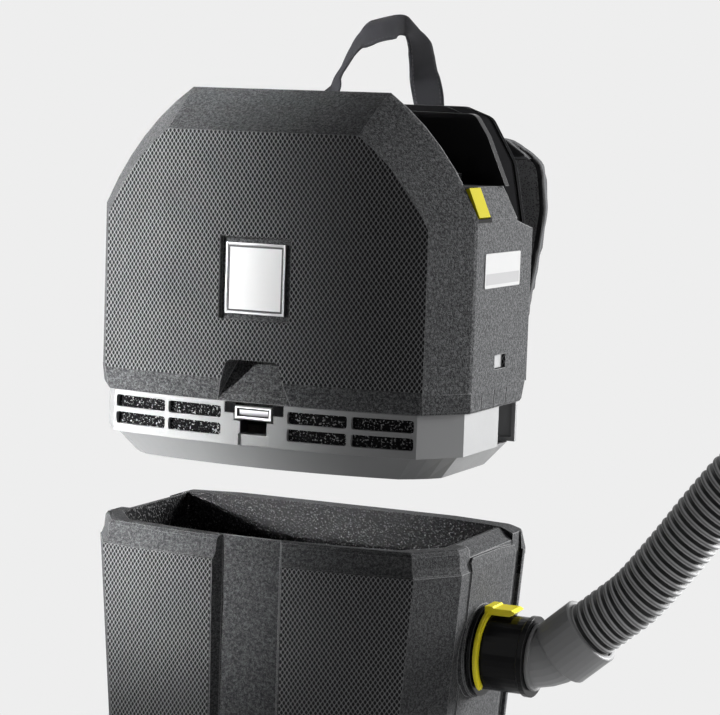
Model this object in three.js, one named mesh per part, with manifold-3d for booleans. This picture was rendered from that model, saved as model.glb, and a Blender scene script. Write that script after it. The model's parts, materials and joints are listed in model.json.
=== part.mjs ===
// Backpack vacuum cleaner: a foam-bodied motor head on its harness, lifted off a foam
// container, with a bayonet hose port, a swivelling elbow and a suction hose.
// Millimetres, +Z up. Origin: middle of the container's bottom face.
// The wearer's back is at +Y, the outer face at -Y, and the hose port at +X.
import * as THREE from 'three';
import { mergeVertices } from 'three/addons/utils/BufferGeometryUtils.js';
import Module from 'manifold-3d';

const wasm = await Module();
wasm.setup();

// ---------------------------------------------------------------- driving dimensions
const fitGap = 0.3; // between faces that touch
const slideGap = 0.8; // between a piece and the opening that it moves in

// Body plan, shared by the head and the container
const bodyWidth = 311;
const frontDepth = 85; // origin to the middle of the bowed front
const frontBow = 13; // how far the front bows out between its corners
const facetWidth = 23.5; // corner facet, across the body
const facetDepth = 36; // corner facet, along the body's depth
const headBack = 81; // origin to the head's back face
const containerBack = 98; // origin to the container's back face

// Container
const ledgeHeight = 189.6; // from the floor to the widest line, under the rim
const rimHeight = 17.4; // from that line up to the rim
const rimSideInset = 18;
const rimFrontInset = 11;
const rimBackInset = 22;
const rimFlat = 2.5; // flat top of the rim
const containerSideTaper = 14.7; // how much each side draws in from ledge to floor
const containerEndTaper = 2;
const containerBackRound = 3;
const containerWall = 16;
const containerFloor = 15;
const channelDepth = 9;
const channelHalfMouth = 29.4;
const channelHalfFloor = 24;
const sidePanelRise = 8.6; // the side panels run this far up over the rim's slope
const sidePanelFront = -20;
const panelStand = 1.3; // how far the side panels stand off the wall
const rimStep = 1; // the rim's upright band starts this far in from the ledge
const rimLean = 2.4; // and leans in by this much
const rearRailRise = 2.6; // how far the rear wall's top stands over the rim, at its middle
const rearRailFront = 72;
const grooveDepth = 3.5; // upright groove ahead of each rear corner
const grooveFront = 70;
const grooveBack = 87;

// Head shell, measured up from its lower break line
const headLift = 58; // how far the head stands lifted off the container
const sideTop = 126.6; // where the upright side turns into the shoulder
const shellTop = 216.8;
const shellTopHalf = 82;
const shoulderControl = [128.4, 185];
const panelSideTop = 119;
const panelTop = 185;
const panelTopHalf = 78;
const panelControl = [112, 160];
const lipHeight = 15.4; // undercut lip under the break line
const lipInset = 5; // how far the lip draws in at its front
const lipSideInset = 1.6;
const lipRearInset = 5.5;
const shellWall = 18;
const cavityTop = 98;

// Battery bay in the right shoulder
const bayLeft = 12;
const bayFloor = 150;
const bayFront = -33;
const bayBackWall = 8;
const bayRear = 36; // front face of the wall behind the bay
const bayWallTop = 205;
const bayWallHalf = 115; // from the middle to the corner at its top
const bayWallShoulder = [132, 187];
const bayWallFoot = 148; // from the middle to its edge at the bay's floor

// Motor carrier band and skirt
const bandHeight = 32;
const bandInset = 5.5;
const bandWall = 3;
const bandSideBack = 36; // where the band's side wall ends
const bandRearStep = 22; // how far the body steps in behind that
const skirtHeight = 18;
const skirtWall = 3;
const ventHeight = 9.2;
const ventPitch = 12.9;
const ventTopDrop = 3.8; // from the band's top edge to the upper slot
const ventSideMargin = 31.3; // from the body's side to the slots
const ventHalfSpan = bodyWidth / 2 - ventSideMargin;
const ventInner = 27.6;
const ventBar = 3.2;

// Latch
const latchWidth = 30;
const latchHeight = 10.4;
const latchThick = 5;
const latchPinRadius = 1.5;
const latchPlateHalf = 24.4;

// Badge, window and button
const badgeWidth = 49;
const badgeHeight = 52.5;
const badgeRecess = 4;
const badgeMargin = 4.5;
const badgeHeightCentre = 77;
const windowWidth = 22;
const windowHeight = 10.6;
const buttonLength = 22;
const buttonTravel = 3;

// Harness
const plateThick = 5;
const padThick = 24;
const plateTop = 209;
const plateBottom = -9;
const plateHalf = 151;
const strapWidth = 62;
const strapThick = 12;
const webWidth = 25;
const webThick = 2.4;
const carryWidth = 25;

// Hose port, elbow and hose
const portHeight = 124;
const portY = 10;
const flangeRadius = 34.3;
const flangeThick = 4;
const collarRadius = 29;
const collarLength = 38;
const portBore = 19;
const elbowRadius = 22.7;
const cuffRadius = 26.7;
const cuffLength = 31;
const hoseRadius = 22.5;
const hoseSocket = 10; // how far the hose reaches into its cuff

// ---------------------------------------------------------------- materials
function paint(color, roughness, metalness = 0) {
  return new THREE.MeshStandardMaterial({ color, roughness, metalness });
}
const foam = paint(0x3b3c3e, 0.9);
const greyPlastic = paint(0x8d8f91, 0.5);
const hosePlastic = paint(0x646668, 0.55);
const blackPlastic = paint(0x111214, 0.35);
const yellow = paint(0xf2dc1a, 0.4);
const silver = paint(0xa8abad, 0.3, 0.8);
const white = paint(0xe8e8e8, 0.4);
const sponge = paint(0x0c0c0d, 1);
const webbing = paint(0x1c1d1f, 0.95);
const mesh3d = paint(0x2a2b2e, 0.95);
const steel = paint(0x9a9da0, 0.35, 0.9);
const board = paint(0x1f5a34, 0.6);

// ---------------------------------------------------------------- solid helpers
function toSolid(geometry) {
  const bare = geometry.index ? geometry.clone() : geometry;
  bare.deleteAttribute('normal');
  bare.deleteAttribute('uv');
  const merged = mergeVertices(bare, 1e-3);
  const index = Array.from(merged.index.array);
  const position = merged.attributes.position;
  const a = new THREE.Vector3();
  const b = new THREE.Vector3();
  const c = new THREE.Vector3();
  const kept = [];
  let volume = 0;
  for (let i = 0; i < index.length; i += 3) {
    const [p, q, r] = index.slice(i, i + 3);
    if (p === q || q === r || r === p) continue;
    kept.push(p, q, r);
    a.fromBufferAttribute(position, p);
    b.fromBufferAttribute(position, q);
    c.fromBufferAttribute(position, r);
    volume += a.dot(b.cross(c));
  }
  if (volume < 0) kept.reverse();
  return new wasm.Manifold(new wasm.Mesh({
    numProp: 3,
    vertProperties: Float32Array.from(position.array),
    triVerts: Uint32Array.from(kept),
  }));
}

function toGeometry(solid) {
  const { vertProperties, triVerts } = solid.getMesh();
  const geometry = new THREE.BufferGeometry();
  geometry.setAttribute('position', new THREE.BufferAttribute(vertProperties, 3));
  geometry.setIndex(new THREE.BufferAttribute(triVerts, 1));
  geometry.computeVertexNormals();
  return geometry;
}

function piece(name, solid, material) {
  const mesh = new THREE.Mesh(toGeometry(solid), material);
  mesh.name = name;
  return mesh;
}

// Extrudes an outline of [u, v] points along one axis, between two places on it.
// Along z, u and v are x and y; along y they are x and z; along x they are y and z.
function prism(outline, axis, from, to) {
  const shape = new THREE.Shape(outline.map(([u, v]) => new THREE.Vector2(u, v)));
  const depth = to - from;
  const geometry = new THREE.ExtrudeGeometry(shape, { depth, bevelEnabled: false });
  geometry.translate(0, 0, from);
  if (axis === 'y') geometry.applyMatrix4(new THREE.Matrix4().set(1, 0, 0, 0, 0, 0, 1, 0, 0, 1, 0, 0, 0, 0, 0, 1));
  if (axis === 'x') geometry.applyMatrix4(new THREE.Matrix4().set(0, 0, 1, 0, 1, 0, 0, 0, 0, 1, 0, 0, 0, 0, 0, 1));
  return toSolid(geometry);
}

function block(x0, x1, y0, y1, z0, z1) {
  const geometry = new THREE.BoxGeometry(x1 - x0, y1 - y0, z1 - z0);
  geometry.translate((x0 + x1) / 2, (y0 + y1) / 2, (z0 + z1) / 2);
  return toSolid(geometry);
}

// A closed body through rings of equal count, each a list of [x, y, z] points.
function loft(rings, closeEnd = flatCap) {
  const count = rings[0].length;
  const index = [];
  for (let r = 0; r + 1 < rings.length; r += 1) {
    for (let i = 0; i < count; i += 1) {
      const j = (i + 1) % count;
      const near = r * count;
      const far = near + count;
      index.push(near + i, near + j, far + j, near + i, far + j, far + i);
    }
  }
  const last = (rings.length - 1) * count;
  for (const [p, q, s] of closeEnd(rings[0])) index.push(p, s, q);
  for (const [p, q, s] of closeEnd(rings[rings.length - 1])) index.push(last + p, last + q, last + s);
  const geometry = new THREE.BufferGeometry();
  geometry.setAttribute('position', new THREE.Float32BufferAttribute(rings.flat(2), 3));
  geometry.setIndex(index);
  return toSolid(geometry);
}

// Triangles that close a ring lying in a level plane, counter-clockwise from above.
function flatCap(ring) {
  return THREE.ShapeUtils.triangulateShape(ring.map(([x, y]) => new THREE.Vector2(x, y)), []);
}

// Triangles that close a ring of columns, whose lower ends come first.
function columnCap(ring) {
  const columns = ring.length / 2;
  const triangles = [];
  for (let i = 0; i + 1 < columns; i += 1) {
    const upper = ring.length - 1 - i;
    triangles.push([i, i + 1, upper - 1], [i, upper - 1, upper]);
  }
  return triangles;
}

// Rounds the corners of an outline given as [u, v, radius] points.
function rounded(corners, steps = 4) {
  const outline = [];
  corners.forEach(([u, v, radius = 0], i) => {
    const here = new THREE.Vector2(u, v);
    if (radius === 0) {
      outline.push([u, v]);
      return;
    }
    const [pu, pv] = corners[(i + corners.length - 1) % corners.length];
    const [nu, nv] = corners[(i + 1) % corners.length];
    const back = new THREE.Vector2(pu, pv).sub(here).normalize();
    const ahead = new THREE.Vector2(nu, nv).sub(here).normalize();
    const halfAngle = Math.acos(THREE.MathUtils.clamp(back.dot(ahead), -1, 1)) / 2;
    const reach = radius / Math.tan(halfAngle);
    const start = here.clone().addScaledVector(back, reach);
    const end = here.clone().addScaledVector(ahead, reach);
    const curve = new THREE.QuadraticBezierCurve(start, here, end);
    for (const point of curve.getPoints(steps)) outline.push([point.x, point.y]);
  });
  return outline;
}

function disc(radius, sides) {
  const outline = [];
  for (let i = 0; i < sides; i += 1) {
    const angle = (2 * Math.PI * i) / sides;
    outline.push([radius * Math.cos(angle), radius * Math.sin(angle)]);
  }
  return outline;
}

// A turned solid: profile of [radius, height] points, its axis along z from the origin.
function turned(profile, sides) {
  const points = [...profile, profile[0]].map(([r, z]) => new THREE.Vector2(r, z));
  const geometry = new THREE.LatheGeometry(points, sides);
  geometry.rotateX(Math.PI / 2);
  return toSolid(geometry);
}

// A constant section swept along points, with square ends.
function swept(section, points, steps) {
  const shape = new THREE.Shape(section.map(([u, v]) => new THREE.Vector2(u, v)));
  const path = new THREE.CatmullRomCurve3(points.map((p) => new THREE.Vector3(...p)), false, 'centripetal');
  return toSolid(new THREE.ExtrudeGeometry(shape, { steps, bevelEnabled: false, extrudePath: path }));
}

// ---------------------------------------------------------------- body outlines
// The front face is drawn in columns, so that the bowed front and its shoulders share them.
const shoulderSteps = 6;
const crownSteps = 3;

function columnLine(half, low, control, topHalf, top) {
  const shoulder = new THREE.QuadraticBezierCurve(
    new THREE.Vector2(half, low),
    new THREE.Vector2(...control),
    new THREE.Vector2(topHalf, top),
  ).getPoints(shoulderSteps);
  const right = shoulder.map((p) => [p.x, p.y]);
  for (let i = 1; i <= crownSteps; i += 1) right.push([topHalf * (1 - i / crownSteps), top]);
  const left = right.slice(0, -1).map(([x, z]) => [-x, z]);
  return [...left, ...right.reverse()];
}

const cornerHalf = bodyWidth / 2 - facetWidth;
const panelColumns = columnLine(cornerHalf, panelSideTop, panelControl, panelTopHalf, panelTop);
const shellColumns = columnLine(bodyWidth / 2, sideTop, shoulderControl, shellTopHalf, shellTop);
const sideFront = -(frontDepth - frontBow) + facetDepth;

function frontAt(x, inset = 0) {
  return -(frontDepth - inset) + frontBow * (x / cornerHalf) ** 2;
}

// The body seen from above, drawn in by separate amounts at its sides, front and back.
function bodyPlan(z, back, side = 0, front = side, rear = side, cornerRadius = 8) {
  const half = bodyWidth / 2 - side;
  const scale = (half - facetWidth) / cornerHalf;
  const bow = panelColumns.map(([x]) => [x * scale, frontAt(x, front)]);
  const rearEdge = back - rear;
  const corners = rounded([
    [half, sideFront + front * 0.5],
    [half, rearEdge, cornerRadius],
    [-half, rearEdge, cornerRadius],
    [-half, sideFront + front * 0.5],
  ]);
  return [...bow, ...corners].map(([x, y]) => [x, y, z]);
}

// ---------------------------------------------------------------- container
function taperedPlan(z, inset = 0) {
  const drop = (ledgeHeight - z) / ledgeHeight;
  const side = containerSideTaper * drop + inset;
  const end = containerEndTaper * drop + inset;
  return bodyPlan(z, containerBack, side, end, end, containerBackRound);
}

// The boss that carries the hose port is flat, and just proud of the tapered wall.
const portFace = bodyWidth / 2 - (containerSideTaper * (ledgeHeight - portHeight - flangeRadius)) / ledgeHeight + fitGap;

const rimTop = ledgeHeight + rimHeight;

function rimPlan(z, out) {
  return bodyPlan(z, containerBack, rimSideInset - out, rimFrontInset - out, rimBackInset - out, containerBackRound);
}

// The wall under the rim, its sides set in from the raised panels.
function wallPlan(z, inset = 0) {
  const drop = Math.max(0, ledgeHeight - z) / ledgeHeight;
  const end = containerEndTaper * drop + inset;
  return bodyPlan(z, containerBack, containerSideTaper * drop + inset + panelStand, end, end, containerBackRound);
}

function containerSolid() {
  const bottomRound = 5;
  const outside = loft([
    wallPlan(0, bottomRound),
    wallPlan(bottomRound),
    wallPlan(ledgeHeight - 1),
    wallPlan(ledgeHeight, rimStep),
    wallPlan(ledgeHeight + 5, rimStep + rimLean * 0.7),
    wallPlan(rimTop - 3.4, rimStep + rimLean),
    wallPlan(rimTop - 1, rimStep + rimLean + 1.4),
    wallPlan(rimTop, rimStep + rimLean + 3.4),
  ]);
  const throatDepth = 26; // the rim's inner face drops this far before the wall thickens
  const inside = loft([
    taperedPlan(containerFloor, containerWall + 8),
    taperedPlan(containerFloor + 10, containerWall + 4),
    taperedPlan(rimTop - throatDepth - 8, containerWall + 4),
    rimPlan(rimTop - throatDepth, 0),
    rimPlan(rimTop + rearRailRise + 1, 0),
  ]);
  const floorFront = -(frontDepth - channelDepth);
  const channel = prism([
    [-channelHalfMouth - 6, -frontDepth - 10],
    [channelHalfMouth + 6, -frontDepth - 10],
    [channelHalfMouth, -frontDepth],
    [channelHalfFloor, floorFront],
    [-channelHalfFloor, floorFront],
    [-channelHalfMouth, -frontDepth],
  ], 'z', -1, rimTop + 1);
  const port = turned([[0, -60], [portBore + 3, -60], [portBore + 3, 60], [0, 60]], 32)
    .rotate([0, 90, 0]).translate([bodyWidth / 2, portY, portHeight]);
  const boss = turned([[0, -30], [flangeRadius + 2, -30], [flangeRadius + 2, -1], [flangeRadius + 1, 0], [0, 0]], 40)
    .rotate([0, 90, 0]).translate([portFace, portY, portHeight]);
  let tub = outside.add(boss);
  for (const side of [-1, 1]) tub = tub.subtract(rimFall(side));
  tub = tub.add(rearRail());
  for (const side of [-1, 1]) tub = tub.add(sidePanel(side)).subtract(sideGroove(side));
  return tub.subtract(inside).subtract(channel).subtract(port);
}

// The rear wall runs up at full width behind the mouth, with a crowned top.
function rearRail() {
  const half = bodyWidth / 2;
  const crown = rounded([
    [-half - 2, ledgeHeight - 6], [half + 2, ledgeHeight - 6], [half + 1, rimTop - 5, 5], [half - 14, rimTop + 0.6, 16],
    [half - 60, rimTop + rearRailRise, 40], [-half + 60, rimTop + rearRailRise, 40], [-half + 14, rimTop + 0.6, 16],
    [-half - 1, rimTop - 5, 5],
  ]);
  const fall = prism([
    [rearRailFront, ledgeHeight - 8], [containerBack + 1, ledgeHeight - 8], [containerBack + 1, ledgeHeight + 7],
    [containerBack - 2, ledgeHeight + 13], [containerBack - 8, rimTop + rearRailRise + 1], [rearRailFront + 4, rimTop + rearRailRise + 1],
    [rearRailFront, rimTop - 4],
  ], 'x', -half - 3, half + 3);
  const plan = loft([
    bodyPlan(ledgeHeight - 5, containerBack, panelStand, 0, 0, containerBackRound),
    bodyPlan(ledgeHeight, containerBack, panelStand, 0, 0, containerBackRound),
    bodyPlan(rimTop, containerBack, panelStand + 1.5, 0, 2, containerBackRound + 8),
    bodyPlan(rimTop + rearRailRise + 2, containerBack, panelStand + 4, 0, 4, containerBackRound + 8),
  ]);
  return prism(crown, 'y', rearRailFront, containerBack + 1).intersect(fall).intersect(plan);
}

// Behind its front corners the rim falls away from the mouth to the top of the side panel.
function rimFall(side) {
  const low = ledgeHeight + sidePanelRise - 1;
  const edge = bodyWidth / 2 - rimSideInset + rimFlat;
  const outline = [[edge, rimTop], [bodyWidth / 2 - panelStand - rimStep, low], [bodyWidth, low], [bodyWidth, rimTop + 5], [edge, rimTop + 5]];
  return prism(outline.map(([x, z]) => [side * x, z]), 'y', sidePanelFront + 5, containerBack + 1);
}

// Each side panel stands a little off the wall and runs up to the rim.
function sidePanel(side) {
  const top = ledgeHeight + sidePanelRise;
  const outline = [
    [sidePanelFront, 4], [containerBack - 9, 4], [containerBack - 7, ledgeHeight - 0.5], [containerBack - 28, top - 2.6],
    [40, top - 0.6], [sidePanelFront + 21, top], [sidePanelFront + 6, top], [sidePanelFront + 1.6, top - 3],
  ];
  const skin = loft([taperedPlan(0), taperedPlan(ledgeHeight), bodyPlan(top + 1, containerBack, 2.2, 2.2, 2.2, containerBackRound)]);
  const inner = bodyWidth / 2 - containerSideTaper - panelStand - 6;
  const reach = bodyWidth;
  return skin.intersect(side > 0 ? prism(outline, 'x', inner, reach) : prism(outline, 'x', -reach, -inner));
}

function sideGroove(side) {
  const ring = (half, z) => {
    const corners = [
      [side * (half - grooveDepth), grooveFront + 2, z],
      [side * (half + 9), grooveFront - 2, z],
      [side * (half + 9), grooveBack, z],
      [side * (half - grooveDepth), grooveBack, z],
    ];
    return side > 0 ? corners : corners.reverse();
  };
  const top = rimTop + 9;
  return loft([ring(bodyWidth / 2 - containerSideTaper, -1), ring(bodyWidth / 2, ledgeHeight), ring(bodyWidth / 2, top)]);
}


// The hose port: a flange ring on the wall with its spigot through it, and the nut inside.
function portFlangeSolid() {
  const spigot = containerWall + 22;
  return turned([
    [portBore, -spigot], [portBore + 2.6, -spigot], [portBore + 2.6, 0], [flangeRadius - 2, 0],
    [flangeRadius, 1.5], [flangeRadius, flangeThick], [collarRadius - 1, flangeThick],
    [collarRadius - 1, flangeThick + 1], [portBore, flangeThick + 1],
  ], 40);
}

const nutDepth = 33.7; // from the port's face in to the nut's far face

function portNutSolid() {
  const inner = portBore + 2.6 + fitGap;
  return turned([[inner, 0], [inner + 9, 0], [inner + 9, 5], [inner + 6, 8], [inner, 8]], 32);
}

// The yellow lock ring: a part turn of flat band round the collar, with a thumb tab on top.
function lockRingSolid() {
  const inner = collarRadius + slideGap;
  const outer = inner + 3;
  const ringWidth = 4;
  const steps = 20;
  const start = THREE.MathUtils.degToRad(-10);
  const sweep = THREE.MathUtils.degToRad(150);
  const arc = (near, far) => {
    const outline = [];
    for (let i = 0; i <= steps; i += 1) {
      const angle = start + (sweep * i) / steps;
      outline.push([-far * Math.sin(angle), far * Math.cos(angle)]);
    }
    for (let i = steps; i >= 0; i -= 1) {
      const angle = start + (sweep * i) / steps;
      outline.push([-near * Math.sin(angle), near * Math.cos(angle)]);
    }
    return outline;
  };
  const tabLength = 24;
  const ring = prism(arc(inner, outer), 'x', 0, ringWidth);
  const rib = prism(arc(inner + 1, outer + 0.9), 'x', ringWidth / 2 - 0.7, ringWidth / 2 + 0.7);
  const tab = prism([
    [0, outer - 2.6], [tabLength - 4, outer - 2.6], [tabLength, outer + 0.6], [tabLength - 3, outer + 2.4],
    [7, outer + 2.4], [6, outer + 3.6], [0, outer + 3.6],
  ], 'y', -11, 9);
  return ring.add(rib).add(tab);
}

const collarDepth = 22; // how far the elbow reaches into the collar

function collarSolid() {
  const mouth = elbowRadius + slideGap;
  return turned([
    [portBore, 0], [collarRadius, 0], [collarRadius, collarLength - 5], [collarRadius + 1.6, collarLength - 4],
    [collarRadius + 1.6, collarLength], [mouth, collarLength], [mouth, collarLength - collarDepth], [portBore, collarLength - collarDepth],
  ], 40);
}

// The elbow: a tube that leaves the collar level and turns up into its cuff.
const elbowRun = 57.3; // from the port's face to the corner of the elbow
const elbowTurn = THREE.MathUtils.degToRad(41);

function bentTube(radius, from, bendRadius, reach) {
  const bend = new THREE.CurvePath();
  const tangent = bendRadius * Math.tan(elbowTurn / 2);
  const corner = new THREE.Vector3(elbowRun, 0, 0);
  const up = new THREE.Vector3(Math.cos(elbowTurn), 0, Math.sin(elbowTurn));
  const before = corner.clone().setX(elbowRun - tangent);
  const after = corner.clone().addScaledVector(up, tangent);
  bend.add(new THREE.LineCurve3(new THREE.Vector3(from, 0, 0), before));
  bend.add(new THREE.QuadraticBezierCurve3(before, corner, after));
  bend.add(new THREE.LineCurve3(after, corner.clone().addScaledVector(up, reach)));
  const shape = new THREE.Shape(disc(radius, 24).map(([u, v]) => new THREE.Vector2(u, v)));
  return toSolid(new THREE.ExtrudeGeometry(shape, { steps: 8, bevelEnabled: false, extrudePath: bend }));
}

const elbowBend = 42;
const elbowSeat = 18; // how far the elbow's upper leg reaches past its corner
const lipStart = flangeThick + 1 + collarLength + 3 * fitGap;
const elbowStart = lipStart - collarDepth;
const cuffStart = 8.5; // where the cuff starts past that corner

const elbowLip = 3; // the flange that stops the elbow at the collar's mouth

function elbowSolid() {
  const wall = 3;
  const lip = prism(disc(elbowRadius + 2.6, 28), 'x', lipStart, lipStart + elbowLip);
  const bore = bentTube(elbowRadius - wall, elbowStart - 1, elbowBend, elbowSeat + 1);
  return bentTube(elbowRadius, elbowStart, elbowBend, elbowSeat).add(lip).subtract(bore);
}

// The cuff sits over the elbow's upper leg, and its lower edge is cut to the bend.
function cuffSolid() {
  const seat = elbowRadius + fitGap;
  const shoulder = elbowSeat - cuffStart + fitGap;
  const bore = hoseRadius - 4;
  const socket = cuffLength - hoseSocket;
  const sleeve = turned([
    [seat, 0], [cuffRadius - 0.6, 0], [cuffRadius, 0.8], [cuffRadius, cuffLength - 1],
    [cuffRadius - 1, cuffLength], [hoseRadius + fitGap, cuffLength], [hoseRadius + fitGap, socket], [bore, socket],
    [bore, shoulder], [seat, shoulder],
  ], 32).translate([0, 0, cuffStart]).rotate([0, 90 - THREE.MathUtils.radToDeg(elbowTurn), 0]).translate([elbowRun, 0, 0]);
  const lipRoom = prism(disc(elbowRadius + 2.6 + 2 * fitGap, 28), 'x', 0, lipStart + elbowLip + fitGap);
  return sleeve.subtract(bentTube(seat, elbowStart, elbowBend, elbowSeat)).subtract(lipRoom);
}

// ---------------------------------------------------------------- hose
// Centre line of the hose, from the cuff to its far end on the floor.
const hoseRoute = [
  [240.7, 10, 150.1], [255.8, 10, 163.2], [273, 10, 178.3], [301, 10, 213.3], [326, 9.9, 247.7],
  [352.7, 9.4, 280.8], [384.3, 8.2, 309.1], [420.8, 5.4, 330.5], [460.5, -1.6, 343.6], [500.9, -13.7, 347.9],
  [539.9, -29.7, 343], [575.6, -47.7, 328.8], [606.9, -65.3, 306.4], [633.1, -80.4, 276.6], [653.1, -91.8, 240.9],
  [667.6, -99.9, 201.8], [679.8, -106.3, 161.6], [698.6, -113.5, 122.9], [725.7, -120, 89.5], [759.4, -125.3, 62.7],
  [797.5, -128.4, 42.9], [838.2, -128, 30], [878, -121, 23.6], [910.1, -110.1, 23], [946.8, -88.9, 23],
  [978, -60.1, 23], [1001.8, -25, 23], [1017, 14.6, 23], [1023.3, 56.6, 23], [1020.1, 98.9, 23], [1007.5, 139.3, 23],
  [985.9, 175.9, 23], [956.9, 206.8, 23], [921.7, 230.4, 23.1], [882.1, 245.1, 24], [836, 253, 26.5],
  [796, 253, 26.5],
];

function hoseSolid() {
  const leaving = new THREE.Vector3(Math.cos(elbowTurn), 0, Math.sin(elbowTurn));
  const start = new THREE.Vector3(...hoseRoute[0]).addScaledVector(leaving, fitGap - hoseSocket);
  const steps = 28;
  return swept(disc(hoseRadius, 10), [start.toArray(), ...hoseRoute], steps);
}

// The tool end of the hose: a cuff with a tapered nozzle and its ring.
function hoseEndSolid() {
  const grip = hoseRadius + 3.4;
  const cuff = turned([
    [hoseRadius - 3, 0], [grip, 0], [grip, 42], [grip - 4, 47], [grip - 4, 50], [grip - 1.4, 51], [grip - 1.4, 56],
    [19, 58], [17.6, 92], [15.4, 92], [15.4, 46], [hoseRadius - 3, 40],
  ], 32);
  const [before, last] = hoseRoute.slice(-2).map((point) => new THREE.Vector3(...point));
  const heading = THREE.MathUtils.radToDeg(Math.atan2(last.y - before.y, last.x - before.x));
  return cuff.translate([0, 0, fitGap]).rotate([0, 90, 0]).rotate([0, 0, heading]);
}

// ---------------------------------------------------------------- head shell
function columnRing(columns, depthAt) {
  const low = columns.map(([x]) => [x, depthAt(x), 0]);
  const high = columns.map(([x, z]) => [x, depthAt(x), z]).reverse();
  return [...low, ...high];
}

function shellBlank() {
  const soften = (columns, by) => columns.map(([x, z]) => [x * (1 - (2 * by) / bodyWidth), z - by]);
  const upper = loft([
    columnRing(soften(shellColumns, 3), () => headBack),
    columnRing(shellColumns, () => headBack - 3),
    columnRing(shellColumns, () => sideFront + 1.5),
    columnRing(soften(shellColumns, 1.2), () => sideFront - 1.5),
    columnRing(panelColumns, (x) => frontAt(x)),
  ], columnCap);
  const lip = loft([
    bodyPlan(-lipHeight, headBack, lipSideInset, lipInset, lipRearInset),
    bodyPlan(-lipHeight + 2, headBack, lipSideInset - 1, lipInset - 1, lipRearInset - 1),
    bodyPlan(0.01, headBack, 0),
  ]);
  return upper.add(lip);
}

function scoopSolid() {
  const ring = (half, back, z) => [[-half, -frontDepth - 10, z], [half, -frontDepth - 10, z], [half, back, z], [-half, back, z]];
  return loft([
    ring(31, -frontDepth + lipInset + 0.5, -lipHeight - 1),
    ring(28.5, -frontDepth + lipInset + 1, -10),
    ring(22, -frontDepth + 21, 14),
    ring(19, -frontDepth + 22, 16.5),
  ]);
}

function bayCut() {
  const profile = rounded([
    [bayLeft, bayFloor, 8], [bodyWidth, bayFloor], [bodyWidth, shellTop + 20], [bayLeft, shellTop + 20],
  ]);
  return prism(profile, 'y', bayFront, bayRear + bayBackWall + 1);
}

// The black wall behind the bay, with its own fuller shoulder.
function bayWallSolid() {
  const outline = rounded([
    [bayLeft + fitGap, bayFloor + fitGap, 8], [bayWallFoot, bayFloor + fitGap], [...bayWallShoulder, 30],
    [bayWallHalf + 6, bayWallTop - 1.5, 9], [bayLeft + fitGap, bayWallTop],
  ]);
  return prism(outline, 'y', bayRear, bayRear + bayBackWall);
}

function shellSolid() {
  const inner = loft([
    bodyPlan(-lipHeight - 1, headBack, shellWall + lipInset, shellWall + lipInset, 14),
    bodyPlan(cavityTop, headBack, shellWall + 4, shellWall + 4, 14),
  ]);
  const stepBack = prism([
    [bayRear + bayBackWall, shellTop + 9], [bayRear + bayBackWall, sideTop - 2], [headBack + 9, sideTop - 11], [headBack + 9, shellTop + 9],
  ], 'x', -bodyWidth, bodyWidth);
  const badge = block(
    -badgeWidth / 2 - badgeMargin, badgeWidth / 2 + badgeMargin, -frontDepth - 9, -frontDepth + badgeRecess + 1,
    badgeHeightCentre - badgeHeight / 2 - badgeMargin, badgeHeightCentre + badgeHeight / 2 + badgeMargin,
  );
  let shell = shellBlank().subtract(inner).subtract(bayCut()).subtract(stepBack);
  shell = shell.subtract(scoopSolid()).subtract(badge);
  shell = shell.subtract(buttonPocket()).subtract(windowPocket());
  for (const y of lipSlots) {
    for (const side of [-1, 1]) {
      const outer = (side * bodyWidth) / 2;
      shell = shell.subtract(block(
        Math.min(outer, outer - side * slotDepth), Math.max(outer, outer - side * slotDepth), y - 0.9, y + 0.9, -lipHeight - 1, -1,
      ));
    }
  }
  return shell;
}
const lipSlots = [-14, 11, 36];
const slotDepth = lipSideInset + 2;

// The release button lies in the shoulder, so its pocket and body follow the shoulder's slope.
const buttonFront = sideFront + 3;
const buttonLow = [155.2, 127.5];
const buttonHigh = [145.6, 150.2];

function shoulderStrip(low, high, inward, outward, from, to) {
  const along = new THREE.Vector2(high[0] - low[0], high[1] - low[1]).normalize();
  const out = new THREE.Vector2(along.y, -along.x);
  const at = ([u, v], off) => [u + out.x * off, v + out.y * off];
  return prism([at(low, -inward), at(low, outward), at(high, outward), at(high, -inward)], 'y', from, to);
}

function buttonPocket() {
  return shoulderStrip(buttonLow, buttonHigh, 12, 20, buttonFront - slideGap, buttonFront + buttonLength + slideGap);
}

function windowPocket() {
  return block(
    bodyWidth / 2 - 6, bodyWidth / 2 + 9, 20 - windowWidth / 2, 20 + windowWidth / 2, 14, 14 + windowHeight,
  );
}

// ---------------------------------------------------------------- motor carrier band
const bandTop = -lipHeight - fitGap;
const bandBottom = bandTop - bandHeight;
const bandBack = headBack - 3;
const bandHalf = bodyWidth / 2 - bandInset;
const latchTop = bandTop - 2.2;

function rearStepBlocks(inset) {
  const inner = bandHalf - bandRearStep - inset;
  const size = [bandSideBack - inset, bandBack - 6];
  return block(inner, bodyWidth, size[0], size[1], bandBottom - 1, bandTop + 1)
    .add(block(-bodyWidth, -inner, size[0], size[1], bandBottom - 1, bandTop + 1));
}

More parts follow.
